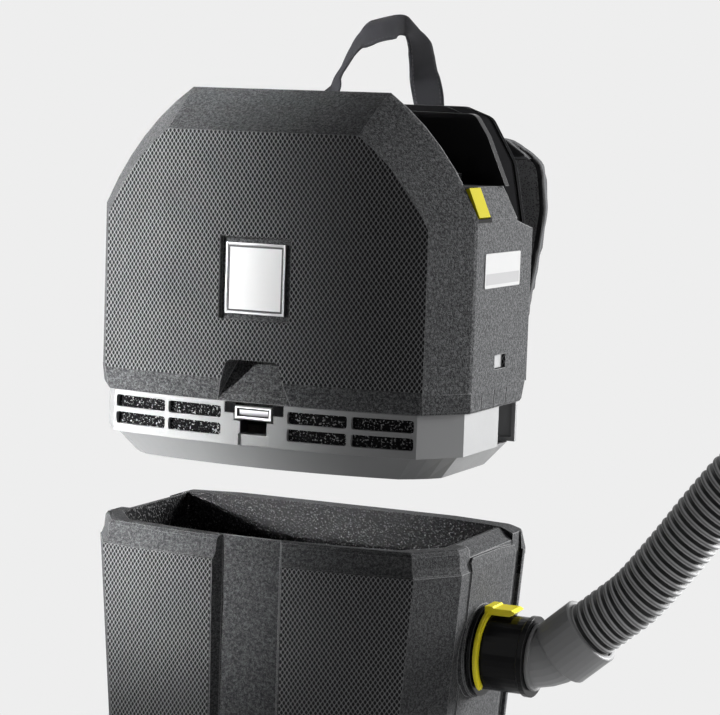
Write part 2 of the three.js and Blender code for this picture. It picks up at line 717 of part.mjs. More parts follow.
function bandSolid() {
  const outerPlan = (z) => bodyPlan(z, bandBack, bandInset, bandInset, 0, 3);
  const innerPlan = (z, more = 0) => bodyPlan(
    z, bandBack, bandInset + bandWall + more, bandInset + bandWall + more, bandWall + more, 3,
  );
  const deckThick = 3;
  const outer = loft([outerPlan(bandBottom), outerPlan(bandTop)]).subtract(rearStepBlocks(0));
  const hollow = loft([innerPlan(bandBottom - 1), innerPlan(bandTop - deckThick)]).subtract(rearStepBlocks(bandWall));
  const seat = loft([innerPlan(bandBottom, -1), innerPlan(bandBottom + 3, -1)])
    .subtract(loft([innerPlan(bandBottom - 1, 6), innerPlan(bandBottom + 4, 6)])).subtract(rearStepBlocks(0));
  const latchBoss = block(-25, 25, -frontDepth + bandInset + 1, -frontDepth + bandInset + 13, bandBottom, bandTop);
  const intake = prism(disc(fanInlet + 4, 32), 'z', bandBottom - 1, bandTop + 1);
  let band = outer.subtract(hollow).add(seat).add(latchBoss).subtract(intake);
  for (const cut of [...ventSlots(), ...latchCuts()]) band = band.subtract(cut);
  return band;
}

// Two rows of two slots either side of the latch.
function ventSlots() {
  const slots = [];
  const middle = (ventHalfSpan + ventInner) / 2;
  const spans = [[ventInner, middle - ventBar / 2], [middle + ventBar / 2, ventHalfSpan]];
  for (const side of [-1, 1]) {
    for (const [near, far] of spans) {
      for (let row = 0; row < 2; row += 1) {
        const top = bandTop - ventTopDrop - row * ventPitch;
        const outline = rounded([
          [side * near, top - ventHeight, 2], [side * far, top - ventHeight, 2],
          [side * far, top, 2], [side * near, top, 2],
        ], 2);
        slots.push(prism(outline, 'y', -frontDepth - 9, -frontDepth + bandInset + frontBow + bandWall + 3));
      }
    }
  }
  return slots;
}

const bandFront = -frontDepth + bandInset;
const latchPocketDepth = 7;
const pinHeight = latchTop - 3;
const pinDepth = bandFront + 3;

function latchCuts() {
  const pocketHalf = latchWidth / 2 + 1.6;
  const pocketLow = latchTop - latchHeight - 1.2;
  return [
    block(-latchPlateHalf - fitGap, latchPlateHalf + fitGap, bandFront - 9, bandFront + 5, bandTop - 8.4, bandTop + 1),
    block(-pocketHalf, pocketHalf, bandFront - 9, bandFront + latchPocketDepth, pocketLow, bandTop + 1),
    block(-11.2, 11.2, bandFront - 9, bandFront + 20, pocketLow - 10, pocketLow + 1),
    block(-12.5, 12.5, bandFront - 9, bandFront + 2.6, bandBottom - 1, pocketLow - 9.5),
  ];
}

function latchPinShape(radius, from, to) {
  return prism(disc(radius, 16), 'x', from, to).translate([0, pinDepth, pinHeight]);
}

// Black bracket: a bar with two ears that carry the latch's pin.
function latchBracketSolid() {
  const earOut = latchWidth / 2 + 4.6;
  const bar = block(-latchPlateHalf, latchPlateHalf, bandFront + 0.6, bandFront + 3.7, bandTop - 8, bandTop - 0.2);
  const window = block(
    -latchWidth / 2 - 0.5, latchWidth / 2 + 0.5, bandFront - 1, bandFront + 9, bandTop - 9, bandTop + 1,
  );
  const back = block(-latchWidth / 2 - 1.2, latchWidth / 2 + 1.2, bandFront + 6.2, bandFront + 6.7, bandTop - 12, bandTop - 0.2);
  const sides = block(-latchWidth / 2 - 1.2, latchWidth / 2 + 1.2, bandFront + 0.6, bandFront + 6.7, bandTop - 8, bandTop - 0.2);
  const pin = latchPinShape(latchPinRadius + 0.08, -earOut, earOut);
  return bar.add(sides).subtract(window).add(back).subtract(pin);
}

function latchPinSolid() {
  return latchPinShape(latchPinRadius, -latchWidth / 2 - 4.2, latchWidth / 2 + 4.2);
}

// The silver latch: a framed finger plate on a barrel that turns on the pin.
function latchClipSolid() {
  const half = latchWidth / 2;
  const low = latchTop - latchHeight;
  const front = bandFront - 1;
  const frame = prism([
    [front, low + 1], [front + 1, low], [front + latchThick, low], [front + latchThick, latchTop - 1],
    [front + latchThick - 1, latchTop], [front + 1, latchTop], [front, latchTop - 1],
  ], 'x', -half, half);
  const dish = prism([
    [front - 1, low + 2], [front + 1.6, low + 3.4], [front + 1.6, latchTop - 3], [front - 1, latchTop - 1.6],
  ], 'x', -half + 2.4, half - 2.4);
  return frame.subtract(dish).subtract(latchPinShape(latchPinRadius + 0.08, -half - 1, half + 1));
}

function ventFoamSolid(side) {
  const inset = bandInset + bandWall + 2 * fitGap;
  const scale = (bandHalf - bandWall - facetWidth) / cornerHalf;
  const near = 25 + 2 * fitGap;
  const far = ventHalfSpan - 1;
  const steps = 6;
  const outline = [];
  for (let i = 0; i <= steps; i += 1) {
    const x = near + ((far - near) * i) / steps;
    outline.push([side * x, frontAt(x / scale, inset)]);
  }
  outline.push([side * far, frontAt(far / scale, inset + 9)], [side * near, frontAt(near / scale, inset + 12)]);
  return prism(outline, 'z', bandBottom + 3.4, bandTop - 3.3);
}

// ---------------------------------------------------------------- skirt and filter
const skirtTop = bandBottom - fitGap;
const skirtBottom = skirtTop - skirtHeight;

const skirtBulge = 4; // how far that turn's control point stands off the cut
const skirtCornerSteps = 3;

// The skirt's front corners are turned on a wide radius, where the body's are cut.
function skirtPlan(z, wall = 0) {
  const drop = (skirtTop - z) / skirtHeight;
  const plan = bodyPlan(z, headBack, 10.5 + 15 * drop + wall, 8 + 13 * drop + wall, 4 + 8 * drop + wall, 10);
  const columns = panelColumns.length;
  const turn = (from, to, middle) => new THREE.QuadraticBezierCurve(
    new THREE.Vector2(from[0], from[1]),
    new THREE.Vector2(...middle),
    new THREE.Vector2(to[0], to[1]),
  ).getPoints(skirtCornerSteps).slice(1, -1).map((p) => [p.x, p.y, z]);
  const right = plan[columns - 1];
  const side = plan[columns];
  const out = skirtBulge;
  const bulge = (sign) => [sign * ((right[0] + side[0]) / 2 + out * 0.8), (right[1] + side[1]) / 2 - out * 0.6];
  return [
    ...plan.slice(0, columns), ...turn(right, side, bulge(1)), ...plan.slice(columns),
    ...turn(plan[plan.length - 1], plan[0], bulge(-1)),
  ];
}

function skirtSolid() {
  const grilleThick = 2.6;
  const shell = loft([skirtPlan(skirtBottom), skirtPlan(skirtTop)]);
  const hollow = loft([skirtPlan(skirtBottom + grilleThick, skirtWall), skirtPlan(skirtTop + 0.1, skirtWall)]);
  let skirt = shell.subtract(hollow);
  const columns = 6;
  const rows = 3;
  const across = 208;
  const along = 96;
  const bar = 4;
  for (let i = 0; i < columns; i += 1) {
    for (let j = 0; j < rows; j += 1) {
      const x = -across / 2 + (i * across) / columns;
      const y = -44 + (j * along) / rows;
      skirt = skirt.subtract(block(
        x + bar / 2, x + across / columns - bar / 2, y + bar / 2, y + along / rows - bar / 2,
        skirtBottom - 1, skirtBottom + grilleThick + 1,
      ));
    }
  }
  return skirt;
}

// Pleated flat filter, its folds running front to back.
function filterSolid() {
  const low = skirtBottom + 2.6 + fitGap;
  const high = low + 12;
  const half = 108;
  const pleats = 24;
  const outline = [[-half, high], [-half, low + 4]];
  for (let i = 0; i < pleats; i += 1) {
    const x = -half + (2 * half * (i + 0.5)) / pleats;
    outline.push([x, low], [x + half / pleats, low + 4]);
  }
  outline.push([half, high]);
  return prism(outline, 'y', -48, 56);
}

// ---------------------------------------------------------------- blower
const fanInlet = 21;
const fanRadius = 47;
const fanHeight = 14;
const motorRadius = 37;
const housingLow = bandTop + fitGap;
const housingWall = 3;
const motorLedge = 3; // the rim that the motor stands on

function fanHousingSolid() {
  const outer = fanRadius + 4 + housingWall;
  const inner = fanRadius + 4;
  const floor = housingLow + housingWall;
  const roof = floor + fanHeight + 6;
  return turned([
    [fanInlet, housingLow], [outer, housingLow], [outer, roof + housingWall], [motorRadius + 6, roof + housingWall],
    [motorRadius + 6, roof + housingWall + 8], [motorRadius + fitGap, roof + housingWall + 8],
    [motorRadius + fitGap, roof + motorLedge], [motorRadius - 4, roof + motorLedge], [motorRadius - 4, roof],
    [inner, roof], [inner, floor], [fanInlet, floor],
  ], 40);
}

const motorHeight = 50;
const motorBevel = 4;
const motorBoss = 12;
const motorBossRise = 6;
const motorShaft = 4.4;

function motorCanSolid() {
  const low = housingLow + housingWall + fanHeight + 6 + motorLedge + fitGap;
  const top = low + motorHeight;
  return turned([
    [motorShaft, low], [motorRadius, low], [motorRadius, top - motorBevel], [motorRadius - motorBevel, top],
    [motorBoss, top], [motorBoss, top + motorBossRise], [motorShaft, top + motorBossRise],
  ], 36);
}

// Impeller: hub, back plate and backward-curved blades, fixed on the motor shaft.
function impellerSolid() {
  const low = housingLow + housingWall + 2;
  const blades = 9;
  const plate = turned([[0, low + fanHeight - 2], [fanRadius, low + fanHeight - 2], [fanRadius, low + fanHeight], [0, low + fanHeight]], 36);
  const hub = turned([[0, low], [8, low + 2], [11, low + fanHeight - 1], [0, low + fanHeight - 1]], 24);
  let wheel = plate.add(hub);
  const inner = 15;
  const outer = fanRadius - 1;
  const thick = 0.9;
  const outline = [];
  const bladeSteps = 6;
  const wrap = 0.9;
  for (const face of [-1, 1]) {
    for (let i = 0; i <= bladeSteps; i += 1) {
      const t = (face < 0 ? i : bladeSteps - i) / bladeSteps;
      const radius = inner + (outer - inner) * t;
      const angle = -wrap * t + (face * thick) / radius;
      outline.push([radius * Math.cos(angle), radius * Math.sin(angle)]);
    }
  }
  const blade = prism(outline, 'z', low + 0.6, low + fanHeight - 1);
  for (let i = 0; i < blades; i += 1) wheel = wheel.add(blade.rotate([0, 0, (360 * i) / blades]));
  const shaft = turned([[0, low + fanHeight - 1], [4, low + fanHeight - 1], [4, low + fanHeight + 70], [0, low + fanHeight + 70]], 20);
  return wheel.add(shaft);
}

function boardSolid() {
  const low = housingLow;
  const plate = block(-45, 45, 60, 61.6, low, low + 62);
  const parts = [
    block(-38, -20, 55, 60.5, low + 30, low + 50), block(-14, -2, 48, 60.5, low + 34, low + 54),
    block(4, 16, 48, 60.5, low + 34, low + 54), block(22, 40, 57, 60.5, low + 12, low + 26),
  ];
  return parts.reduce((all, part) => all.add(part), plate);
}

// ---------------------------------------------------------------- small head parts
function badgeFrameSolid() {
  const back = -frontDepth + badgeRecess + 1 - fitGap;
  const low = badgeHeightCentre - badgeHeight / 2;
  const rim = 1.6;
  const frame = block(-badgeWidth / 2, badgeWidth / 2, back - 3.4, back, low, low + badgeHeight);
  return frame.subtract(block(
    -badgeWidth / 2 + rim, badgeWidth / 2 - rim, back - 5, back - 1.2, low + rim, low + badgeHeight - rim,
  ));
}

function badgePlateSolid() {
  const rim = 1.6 + fitGap;
  const back = -frontDepth + badgeRecess + 1 - fitGap - 1.2 - fitGap;
  const low = badgeHeightCentre - badgeHeight / 2;
  return block(-badgeWidth / 2 + rim, badgeWidth / 2 - rim, back - 1.4, back, low + rim, low + badgeHeight - rim);
}

function releaseButtonSolid() {
  const shrink = (from, to, by) => {
    const length = Math.hypot(to[0] - from[0], to[1] - from[1]);
    return [from[0] + ((to[0] - from[0]) * by) / length, from[1] + ((to[1] - from[1]) * by) / length];
  };
  return shoulderStrip(
    shrink(buttonLow, buttonHigh, slideGap), shrink(buttonHigh, buttonLow, slideGap), 12 - buttonTravel - 0.4, 0.8,
    buttonFront, buttonFront + buttonLength,
  );
}

function windowInsertSolid() {
  const half = bodyWidth / 2;
  return block(half - 6 + fitGap, half - 2.6, 20 - windowWidth / 2 + fitGap, 20 + windowWidth / 2 - fitGap, 14 + fitGap, 14 + windowHeight - fitGap);
}

const terminalInset = 35.5; // from the body's side
const terminalLength = 60;

function terminalSolid() {
  const outer = bodyWidth / 2 - terminalInset;
  const inner = outer - terminalLength;
  const blades = 4;
  let terminal = block(inner, outer, bayFront + 20, bayRear - 20, bayFloor + fitGap, bayFloor + 9);
  for (let i = 0; i < blades; i += 1) {
    const x = inner + (terminalLength * (i + 0.8)) / (blades + 1);
    terminal = terminal.add(block(x, x + 1.6, bayFront + 26, bayRear - 26, bayFloor + 8, bayFloor + 20));
  }
  return terminal;
}

// ---------------------------------------------------------------- harness
const plateFront = headBack + fitGap;
const padFront = plateFront + plateThick + fitGap;
const padRear = padFront + padThick;

const plateWaist = 96; // where the upright sides start to draw in
const plateShoulder = [13.5, 42]; // in from the side and down from the top
const plateCorner = [34, 8];

function harnessOutline(half, low, high) {
  return rounded([
    [-half, low, 10], [half, low, 10], [half, plateWaist, 30], [half - plateShoulder[0], high - plateShoulder[1], 16],
    [half - plateCorner[0], high - plateCorner[1], 12], [half - plateCorner[0] - 22, high, 14],
    [-half + plateCorner[0] + 22, high, 14], [-half + plateCorner[0], high - plateCorner[1], 12],
    [-half + plateShoulder[0], high - plateShoulder[1], 16], [-half, plateWaist, 30],
  ]);
}

// The harness plate, with the block that fills the step behind the battery bay.
function harnessPlateSolid() {
  const plate = prism(harnessOutline(plateHalf, plateBottom, plateTop), 'y', plateFront, plateFront + plateThick);
  const stepFront = bayRear + bayBackWall + fitGap;
  const filler = prism(harnessOutline(plateHalf - 2, 60, plateTop), 'y', stepFront, plateFront + 1);
  const ledge = prism([
    [stepFront - 9, sideTop - 2 + 0.6 + 2.2], [headBack + 20, sideTop - 11 + 0.6], [headBack + 20, 0], [stepFront - 9, 0],
  ], 'x', -bodyWidth, bodyWidth);
  return filler.subtract(ledge).add(plate);
}

function backPadSolid() {
  return prism(harnessOutline(plateHalf - 12, plateBottom + 4, plateTop - 1), 'y', padFront, padRear);
}

// A band of constant thickness along [y, z] points, between two places across the body.
function bandAlong(points, thick, x0, x1, steps) {
  const curve = new THREE.CatmullRomCurve3(points.map(([y, z]) => new THREE.Vector3(0, y, z)), false, 'centripetal');
  const near = [];
  const far = [];
  for (let i = 0; i <= steps; i += 1) {
    const p = curve.getPoint(i / steps);
    const t = curve.getTangent(i / steps);
    near.push([p.y - (t.z * thick) / 2, p.z + (t.y * thick) / 2]);
    far.push([p.y + (t.z * thick) / 2, p.z - (t.y * thick) / 2]);
  }
  return prism([...near, ...far.reverse()], 'x', x0, x1);
}

const strapInner = 82;
const strapWebMiddle = strapInner + strapWidth / 2;
const strapRoute = [
  [padRear + 6.6, 168], [padRear + 10, 180], [padRear + 20, 184], [padRear + 30, 172], [padRear + 34, 146],
  [padRear + 33, 112], [padRear + 27, 76], [padRear + 19, 46], [padRear + 12, 26],
];

// The padded strap's outline as seen from behind, from its sewn top down to its webbing.
const strapTop = 186;
const strapFoot = 10;
const strapChest = 130; // where its outer edge is widest
const strapFootWidth = 30;
const strapOuter = strapInner + strapWidth;
const strapOutline = rounded([
  [strapWebMiddle - strapFootWidth / 2, strapFoot], [strapWebMiddle + strapFootWidth / 2, strapFoot],
  [strapOuter - 8, strapFoot + 34], [strapOuter, strapChest, 40],
  [strapOuter - 4, strapTop - 18, 20], [strapInner + strapWidth / 2, strapTop, 20], [strapInner - 20, strapTop],
  [strapInner - 26, strapTop - 28, 8], [strapInner + 4, strapChest - 10, 40], [strapInner + 6, strapChest - 70, 20],
]);

function shoulderStrapSolid(side) {
  const outline = strapOutline.map(([x, z]) => [side * x, z]);
  const reach = strapInner + strapWidth;
  const sheet = bandAlong(strapRoute, strapThick, -reach, reach, 22);
  return sheet.intersect(prism(outline, 'y', padRear, padRear + 60));
}

// Lower webbing, from under the padded strap down to the plate, with its buckle.
const buckleHeight = 18;
const buckleThick = 3.6;
const buckleMiddle = 13;
const buckleDepth = padRear + 3.6;

function strapWebSolid(side) {
  const middle = side * strapWebMiddle;
  const top = buckleMiddle - buckleHeight / 2 - fitGap;
  const seat = padRear + fitGap + webThick / 2;
  return bandAlong([[buckleDepth, top], [seat + 0.9, top - 5], [seat, plateBottom + 5]], webThick,
    middle - webWidth / 2, middle + webWidth / 2, 5);
}

function buckleSolid(side) {
  const half = webWidth / 2 + 4;
  const slotHalf = webWidth / 2 + 0.6;
  const deep = buckleThick;
  const frame = block(-half, half, -deep / 2, deep / 2, -buckleHeight / 2, buckleHeight / 2);
  const upper = block(-slotHalf, slotHalf, -deep, deep, 2, buckleHeight / 2 - 3.4);
  const lower = block(-slotHalf, slotHalf, -deep, deep, -buckleHeight / 2 + 3.4, -2);
  return frame.subtract(upper).subtract(lower).translate([side * strapWebMiddle, buckleDepth, buckleMiddle]);
}

// A flat ribbon through points, its width lying along a direction given at each of them.
function ribbon(points, directions, width, thick, steps) {
  const route = new THREE.CatmullRomCurve3(points.map((p) => new THREE.Vector3(...p)), false, 'centripetal');
  const widths = new THREE.CatmullRomCurve3(directions.map((p) => new THREE.Vector3(...p)), false, 'centripetal');
  const rings = [];
  for (let i = 0; i <= steps; i += 1) {
    const along = route.getTangent(i / steps);
    const wide = widths.getPoint(i / steps);
    wide.addScaledVector(along, -wide.dot(along)).normalize();
    const deep = along.clone().cross(wide);
    rings.push([[-1, -1], [1, -1], [1, 1], [-1, 1]].map(([u, v]) => route.getPoint(i / steps)
      .addScaledVector(wide, (u * width) / 2).addScaledVector(deep, (v * thick) / 2).toArray()));
  }
  return loft(rings, () => [[0, 1, 2], [0, 2, 3]]);
}

// Carry strap: a loop of webbing sewn behind the pad's top, with a twist in its hose-side leg.
const carryRoute = [
  [-47, 0.2, 182], [-46.6, 1, 196], [-42, 6.2, 209.5], [-35.9, 8.9, 220.4], [-34.3, 9.9, 228.7], [-30.6, 10.7, 236],
  [-21.9, 9.7, 250.3], [-14.4, 10.4, 259.8], [-4.4, 8.9, 265.7], [13.2, 10.4, 270.4], [21.4, 10.9, 271], [29.5, 12.6, 266],
  [36.1, 11.9, 257.2], [38.8, 10.4, 248.1], [41.5, 9.2, 235.7], [44.1, 7.4, 227.8], [50.6, 1.7, 209.5], [52, 0.3, 196],
  [52, 0, 182],
];
const carryWidths = [
  [1, 0, 0], [1, 0, 0], [0.93, -0.36, 0], [0.7, -0.71, 0], [0.59, -0.8, 0], [0.5, -0.86, -0.07],
  [0.62, -0.78, -0.05], [0.72, -0.67, -0.17], [0.7, -0.45, -0.55], [0.38, -0.52, -0.76], [0.4, -0.6, -0.69], [0.15, -0.9, -0.4],
  [-0.28, -0.86, -0.41], [-0.43, -0.8, -0.42], [-0.58, -0.76, -0.29], [-0.77, -0.57, -0.29], [-1, -0.06, 0], [-1, 0, 0],
  [-1, 0, 0],
];

function carryStrapSolid() {
  const seat = padRear + fitGap + webThick / 2;
  return ribbon(carryRoute.map(([x, y, z]) => [x, y + seat, z]), carryWidths, carryWidth, webThick, 44);
}

// ---------------------------------------------------------------- assembly
const closedGap = 10.9; // band above the rim with the head closed
const headBase = ledgeHeight + rimHeight + closedGap + headLift - bandBottom;

function place(group, name, solid, material, along = 0) {
  const mesh = piece(name, solid, material);
  mesh.position.x = along;
  group.add(mesh);
}

const model = new THREE.Group();
place(model, 'container', containerSolid(), foam);
place(model, 'hose_tube', hoseSolid(), hosePlastic);

const port = new THREE.Group();
port.position.set(portFace, portY, portHeight);
model.add(port);
const toX = [0, 90, 0];
place(port, 'port_flange', portFlangeSolid().rotate(toX), blackPlastic, fitGap);
place(port, 'port_nut', portNutSolid().rotate(toX), blackPlastic, -nutDepth);
place(port, 'lock_ring', lockRingSolid(), yellow, flangeThick + 2);
place(port, 'port_collar', collarSolid().rotate(toX), blackPlastic, flangeThick + 1 + 2 * fitGap);
place(port, 'hose_elbow', elbowSolid(), hosePlastic);
place(port, 'hose_cuff', cuffSolid(), hosePlastic);

const hoseEnd = new THREE.Group();
hoseEnd.position.set(...hoseRoute[hoseRoute.length - 1]);
model.add(hoseEnd);
place(hoseEnd, 'hose_end_cuff', hoseEndSolid(), hosePlastic);

const head = new THREE.Group();
head.position.z = headBase;
model.add(head);
place(head, 'head_shell', shellSolid(), foam);
place(head, 'bay_wall', bayWallSolid(), blackPlastic);
place(head, 'vent_band', bandSolid(), greyPlastic);
place(head, 'vent_foam_left', ventFoamSolid(-1), sponge);
place(head, 'vent_foam_right', ventFoamSolid(1), sponge);
place(head, 'latch_bracket', latchBracketSolid(), blackPlastic);
place(head, 'latch_pin', latchPinSolid(), steel);
place(head, 'latch_clip', latchClipSolid(), silver);
place(head, 'filter_skirt', skirtSolid(), greyPlastic);
place(head, 'pleated_filter', filterSolid(), white);
place(head, 'fan_housing', fanHousingSolid(), blackPlastic);
place(head, 'impeller', impellerSolid(), greyPlastic);
place(head, 'motor_can', motorCanSolid(), steel);
place(head, 'control_board', boardSolid(), board);
place(head, 'badge_frame', badgeFrameSolid(), silver);
place(head, 'badge_plate', badgePlateSolid(), white);
place(head, 'release_button', releaseButtonSolid(), yellow);
place(head, 'side_window', windowInsertSolid(), greyPlastic);
place(head, 'battery_terminal', terminalSolid(), blackPlastic);
place(head, 'harness_plate', harnessPlateSolid(), blackPlastic);
place(head, 'back_pad', backPadSolid(), mesh3d);
place(head, 'carry_strap', carryStrapSolid(), webbing);
for (const [side, word] of [[-1, 'left'], [1, 'right']]) {
  place(head, `shoulder_strap_${word}`, shoulderStrapSolid(side), mesh3d);
  place(head, `strap_webbing_${word}`, strapWebSolid(side), webbing);
  place(head, `strap_buckle_${word}`, buckleSolid(side), blackPlastic);
}

export default model;
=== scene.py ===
import json
import math

import bmesh
import bpy
from mathutils import Matrix, Vector
from mathutils.bvhtree import BVHTree
from mathutils.kdtree import KDTree
from mathutils.noise import noise as perlin


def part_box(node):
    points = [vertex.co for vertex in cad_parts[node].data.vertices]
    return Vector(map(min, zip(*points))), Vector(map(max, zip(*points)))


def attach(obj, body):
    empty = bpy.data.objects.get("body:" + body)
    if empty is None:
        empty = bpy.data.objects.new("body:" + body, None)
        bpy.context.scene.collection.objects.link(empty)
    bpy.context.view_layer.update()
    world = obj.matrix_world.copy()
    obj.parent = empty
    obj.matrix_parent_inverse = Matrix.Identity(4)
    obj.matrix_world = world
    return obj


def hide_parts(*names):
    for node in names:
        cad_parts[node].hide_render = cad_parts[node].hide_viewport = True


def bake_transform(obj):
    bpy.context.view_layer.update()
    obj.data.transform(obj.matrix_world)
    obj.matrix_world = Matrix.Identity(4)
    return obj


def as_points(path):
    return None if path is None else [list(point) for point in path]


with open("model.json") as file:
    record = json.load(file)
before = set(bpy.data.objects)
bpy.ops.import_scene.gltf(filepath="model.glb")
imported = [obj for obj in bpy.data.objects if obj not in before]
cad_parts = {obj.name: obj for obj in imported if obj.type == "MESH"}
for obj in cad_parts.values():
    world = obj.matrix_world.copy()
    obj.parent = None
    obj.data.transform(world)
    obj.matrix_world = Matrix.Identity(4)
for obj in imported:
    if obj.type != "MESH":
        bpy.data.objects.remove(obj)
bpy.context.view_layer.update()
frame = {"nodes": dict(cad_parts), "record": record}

# ---------------- shared places (metres)
MM = 0.001
HEAD_LINE = 0.3236  # the head shell's lower break line, and the height the harness is drawn from
HARNESS_LIFT = Vector((0, 0, HEAD_LINE))
PAD_FRONT, PAD_REAR = (corner.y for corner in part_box("back_pad"))

# ---------------- camera, light and floor
CAMERA_PLACE = (0.798, -1.6554, 0.5274)
YAW, PITCH, ROLL = (math.radians(angle) for angle in (24.34, 5.9, 1.96))
LENS = 119.9  # millimetres, as the sensor's width
SENSOR_WIDTH = 36
BACKDROP = (0.855, 0.855, 0.855, 1)
ROOM_LIGHT = 0.055
FLOOR_REACH = 12
FLOOR_TONE = (0.8, 0.8, 0.8, 1)
SHADOW_WHOLE = 0.13  # the floor shows its whole shadow up to here, and none from SHADOW_GONE on
SHADOW_GONE = 0.27
MIDDLE = (0, 0, 0.3)  # what the broad lamps are aimed at


def make_camera():
    """The main view: a long lens, a little above and to the right of the front."""
    back = Vector((math.sin(YAW) * math.cos(PITCH), -math.cos(YAW) * math.cos(PITCH), math.sin(PITCH)))
    right = Vector((math.cos(YAW), math.sin(YAW), 0))
    up = right.cross(-back)
    turned_right = right * math.cos(ROLL) + up * math.sin(ROLL)
    turned_up = up * math.cos(ROLL) - right * math.sin(ROLL)
    data = bpy.data.cameras.new("camera")
    data.sensor_width = SENSOR_WIDTH
    data.lens = LENS
    camera = bpy.data.objects.new("camera", data)
    rotation = Matrix((turned_right, turned_up, back)).transposed().to_4x4()
    camera.matrix_world = Matrix.Translation(CAMERA_PLACE) @ rotation
    bpy.context.collection.objects.link(camera)
    bpy.context.scene.camera = camera


def make_lamp(name, place, target, width, height, power, spread=180):
    data = bpy.data.lights.new(name, "AREA")
    data.shape = "RECTANGLE"
    data.size = width
    data.size_y = height
    data.spread = math.radians(spread)
    data.energy = power
    lamp = bpy.data.objects.new(name, data)
    lamp.location = place
    aim = Vector(target) - Vector(place)
    lamp.rotation_euler = aim.to_track_quat("-Z", "Y").to_euler()
    bpy.context.collection.objects.link(lamp)
    return lamp


def make_lamps():
    """A narrow key from the left, a broad lamp from the rear right and three weak ones. Returns the key."""
    key = make_lamp(
        "left", (-1.2, -1.5, 0.72), (-0.2, -0.09, 0.445), width=0.26, height=0.66, power=2.5, spread=7.5)
    make_lamp("left_fill", (-2.7, -1.2, 0.9), MIDDLE, width=1.3, height=1.3, power=2)
    make_lamp("right", (3.0, 3.1, 1.3), MIDDLE, width=1.6, height=1.9, power=490)
    make_lamp("right_strip", (2.2, -0.98, 0.45), MIDDLE, width=0.08, height=1.2, power=5)
    make_lamp("top", (-0.2, 0.5, 2.6), MIDDLE, width=1.2, height=1.2, power=7)
    return key


def make_world():
    """A plain pale surround: seen and mirrored at its own colour, and dimmer as a light."""
    world = bpy.data.worlds.new("studio")
    bpy.context.scene.world = world
    world.use_nodes = True
    tree = world.node_tree
    tree.nodes.clear()
    light = tree.nodes.new("ShaderNodeBackground")
    light.inputs["Color"].default_value = (1, 1, 1, 1)
    light.inputs["Strength"].default_value = ROOM_LIGHT
    seen = tree.nodes.new("ShaderNodeBackground")
    seen.inputs["Color"].default_value = BACKDROP
    path = tree.nodes.new("ShaderNodeLightPath")
    unlit = path.outputs["Is Camera Ray"]
    for ray in ("Is Glossy Ray", "Is Transmission Ray"):
        either = tree.nodes.new("ShaderNodeMath")
        either.operation = "MAXIMUM"
        tree.links.new(unlit, either.inputs[0])
        tree.links.new(path.outputs[ray], either.inputs[1])
        unlit = either.outputs[0]
    mix = tree.nodes.new("ShaderNodeMixShader")
    tree.links.new(unlit, mix.inputs[0])
    tree.links.new(light.outputs[0], mix.inputs[1])
    tree.links.new(seen.outputs[0], mix.inputs[2])
    out = tree.nodes.new("ShaderNodeOutputWorld")
    tree.links.new(mix.outputs[0], out.inputs["Surface"])


def make_floor():
    """A pale floor that keeps the object's shadow near it and fades into the backdrop."""
    mesh = bpy.data.meshes.new("floor")
    corners = [(x * FLOOR_REACH, y * FLOOR_REACH, 0) for x, y in ((-1, -1), (1, -1), (1, 1), (-1, 1))]
    mesh.from_pydata(corners, [], [(0, 1, 2, 3)])
    floor = bpy.data.objects.new("floor", mesh)
    bpy.context.collection.objects.link(floor)
    shader = Shader("floor")
    near = shader.node("ShaderNodeBsdfDiffuse")
    near.inputs["Color"].default_value = FLOOR_TONE
    far = shader.node("ShaderNodeEmission")
    far.inputs["Color"].default_value = BACKDROP
    x, y, _ = shader.axes()
    away = shader.math("SQRT", shader.math("ADD", shader.product(x, x), shader.product(y, y)))
    fade = shader.smooth(away, SHADOW_WHOLE, SHADOW_GONE)
    seen = shader.node("ShaderNodeLightPath").outputs["Is Camera Ray"]
    mix = shader.node("ShaderNodeMixShader")
    shader.link(shader.product(fade, seen), mix.inputs[0])
    shader.link(near.outputs[0], mix.inputs[1])
    shader.link(far.outputs[0], mix.inputs[2])
    shader.link(mix.outputs[0], shader.out.inputs["Surface"])
    floor.data.materials.append(shader.material)
    return floor


def spare(lamp, obj):
    """The lamp doesn't light obj: a narrow beam would leave a bright patch on the floor."""
    group = bpy.data.collections.new(f"{lamp.name}_spares")
    group.objects.link(obj)
    group.collection_objects[0].light_linking.link_state = "EXCLUDE"
    lamp.light_linking.receiver_collection = group


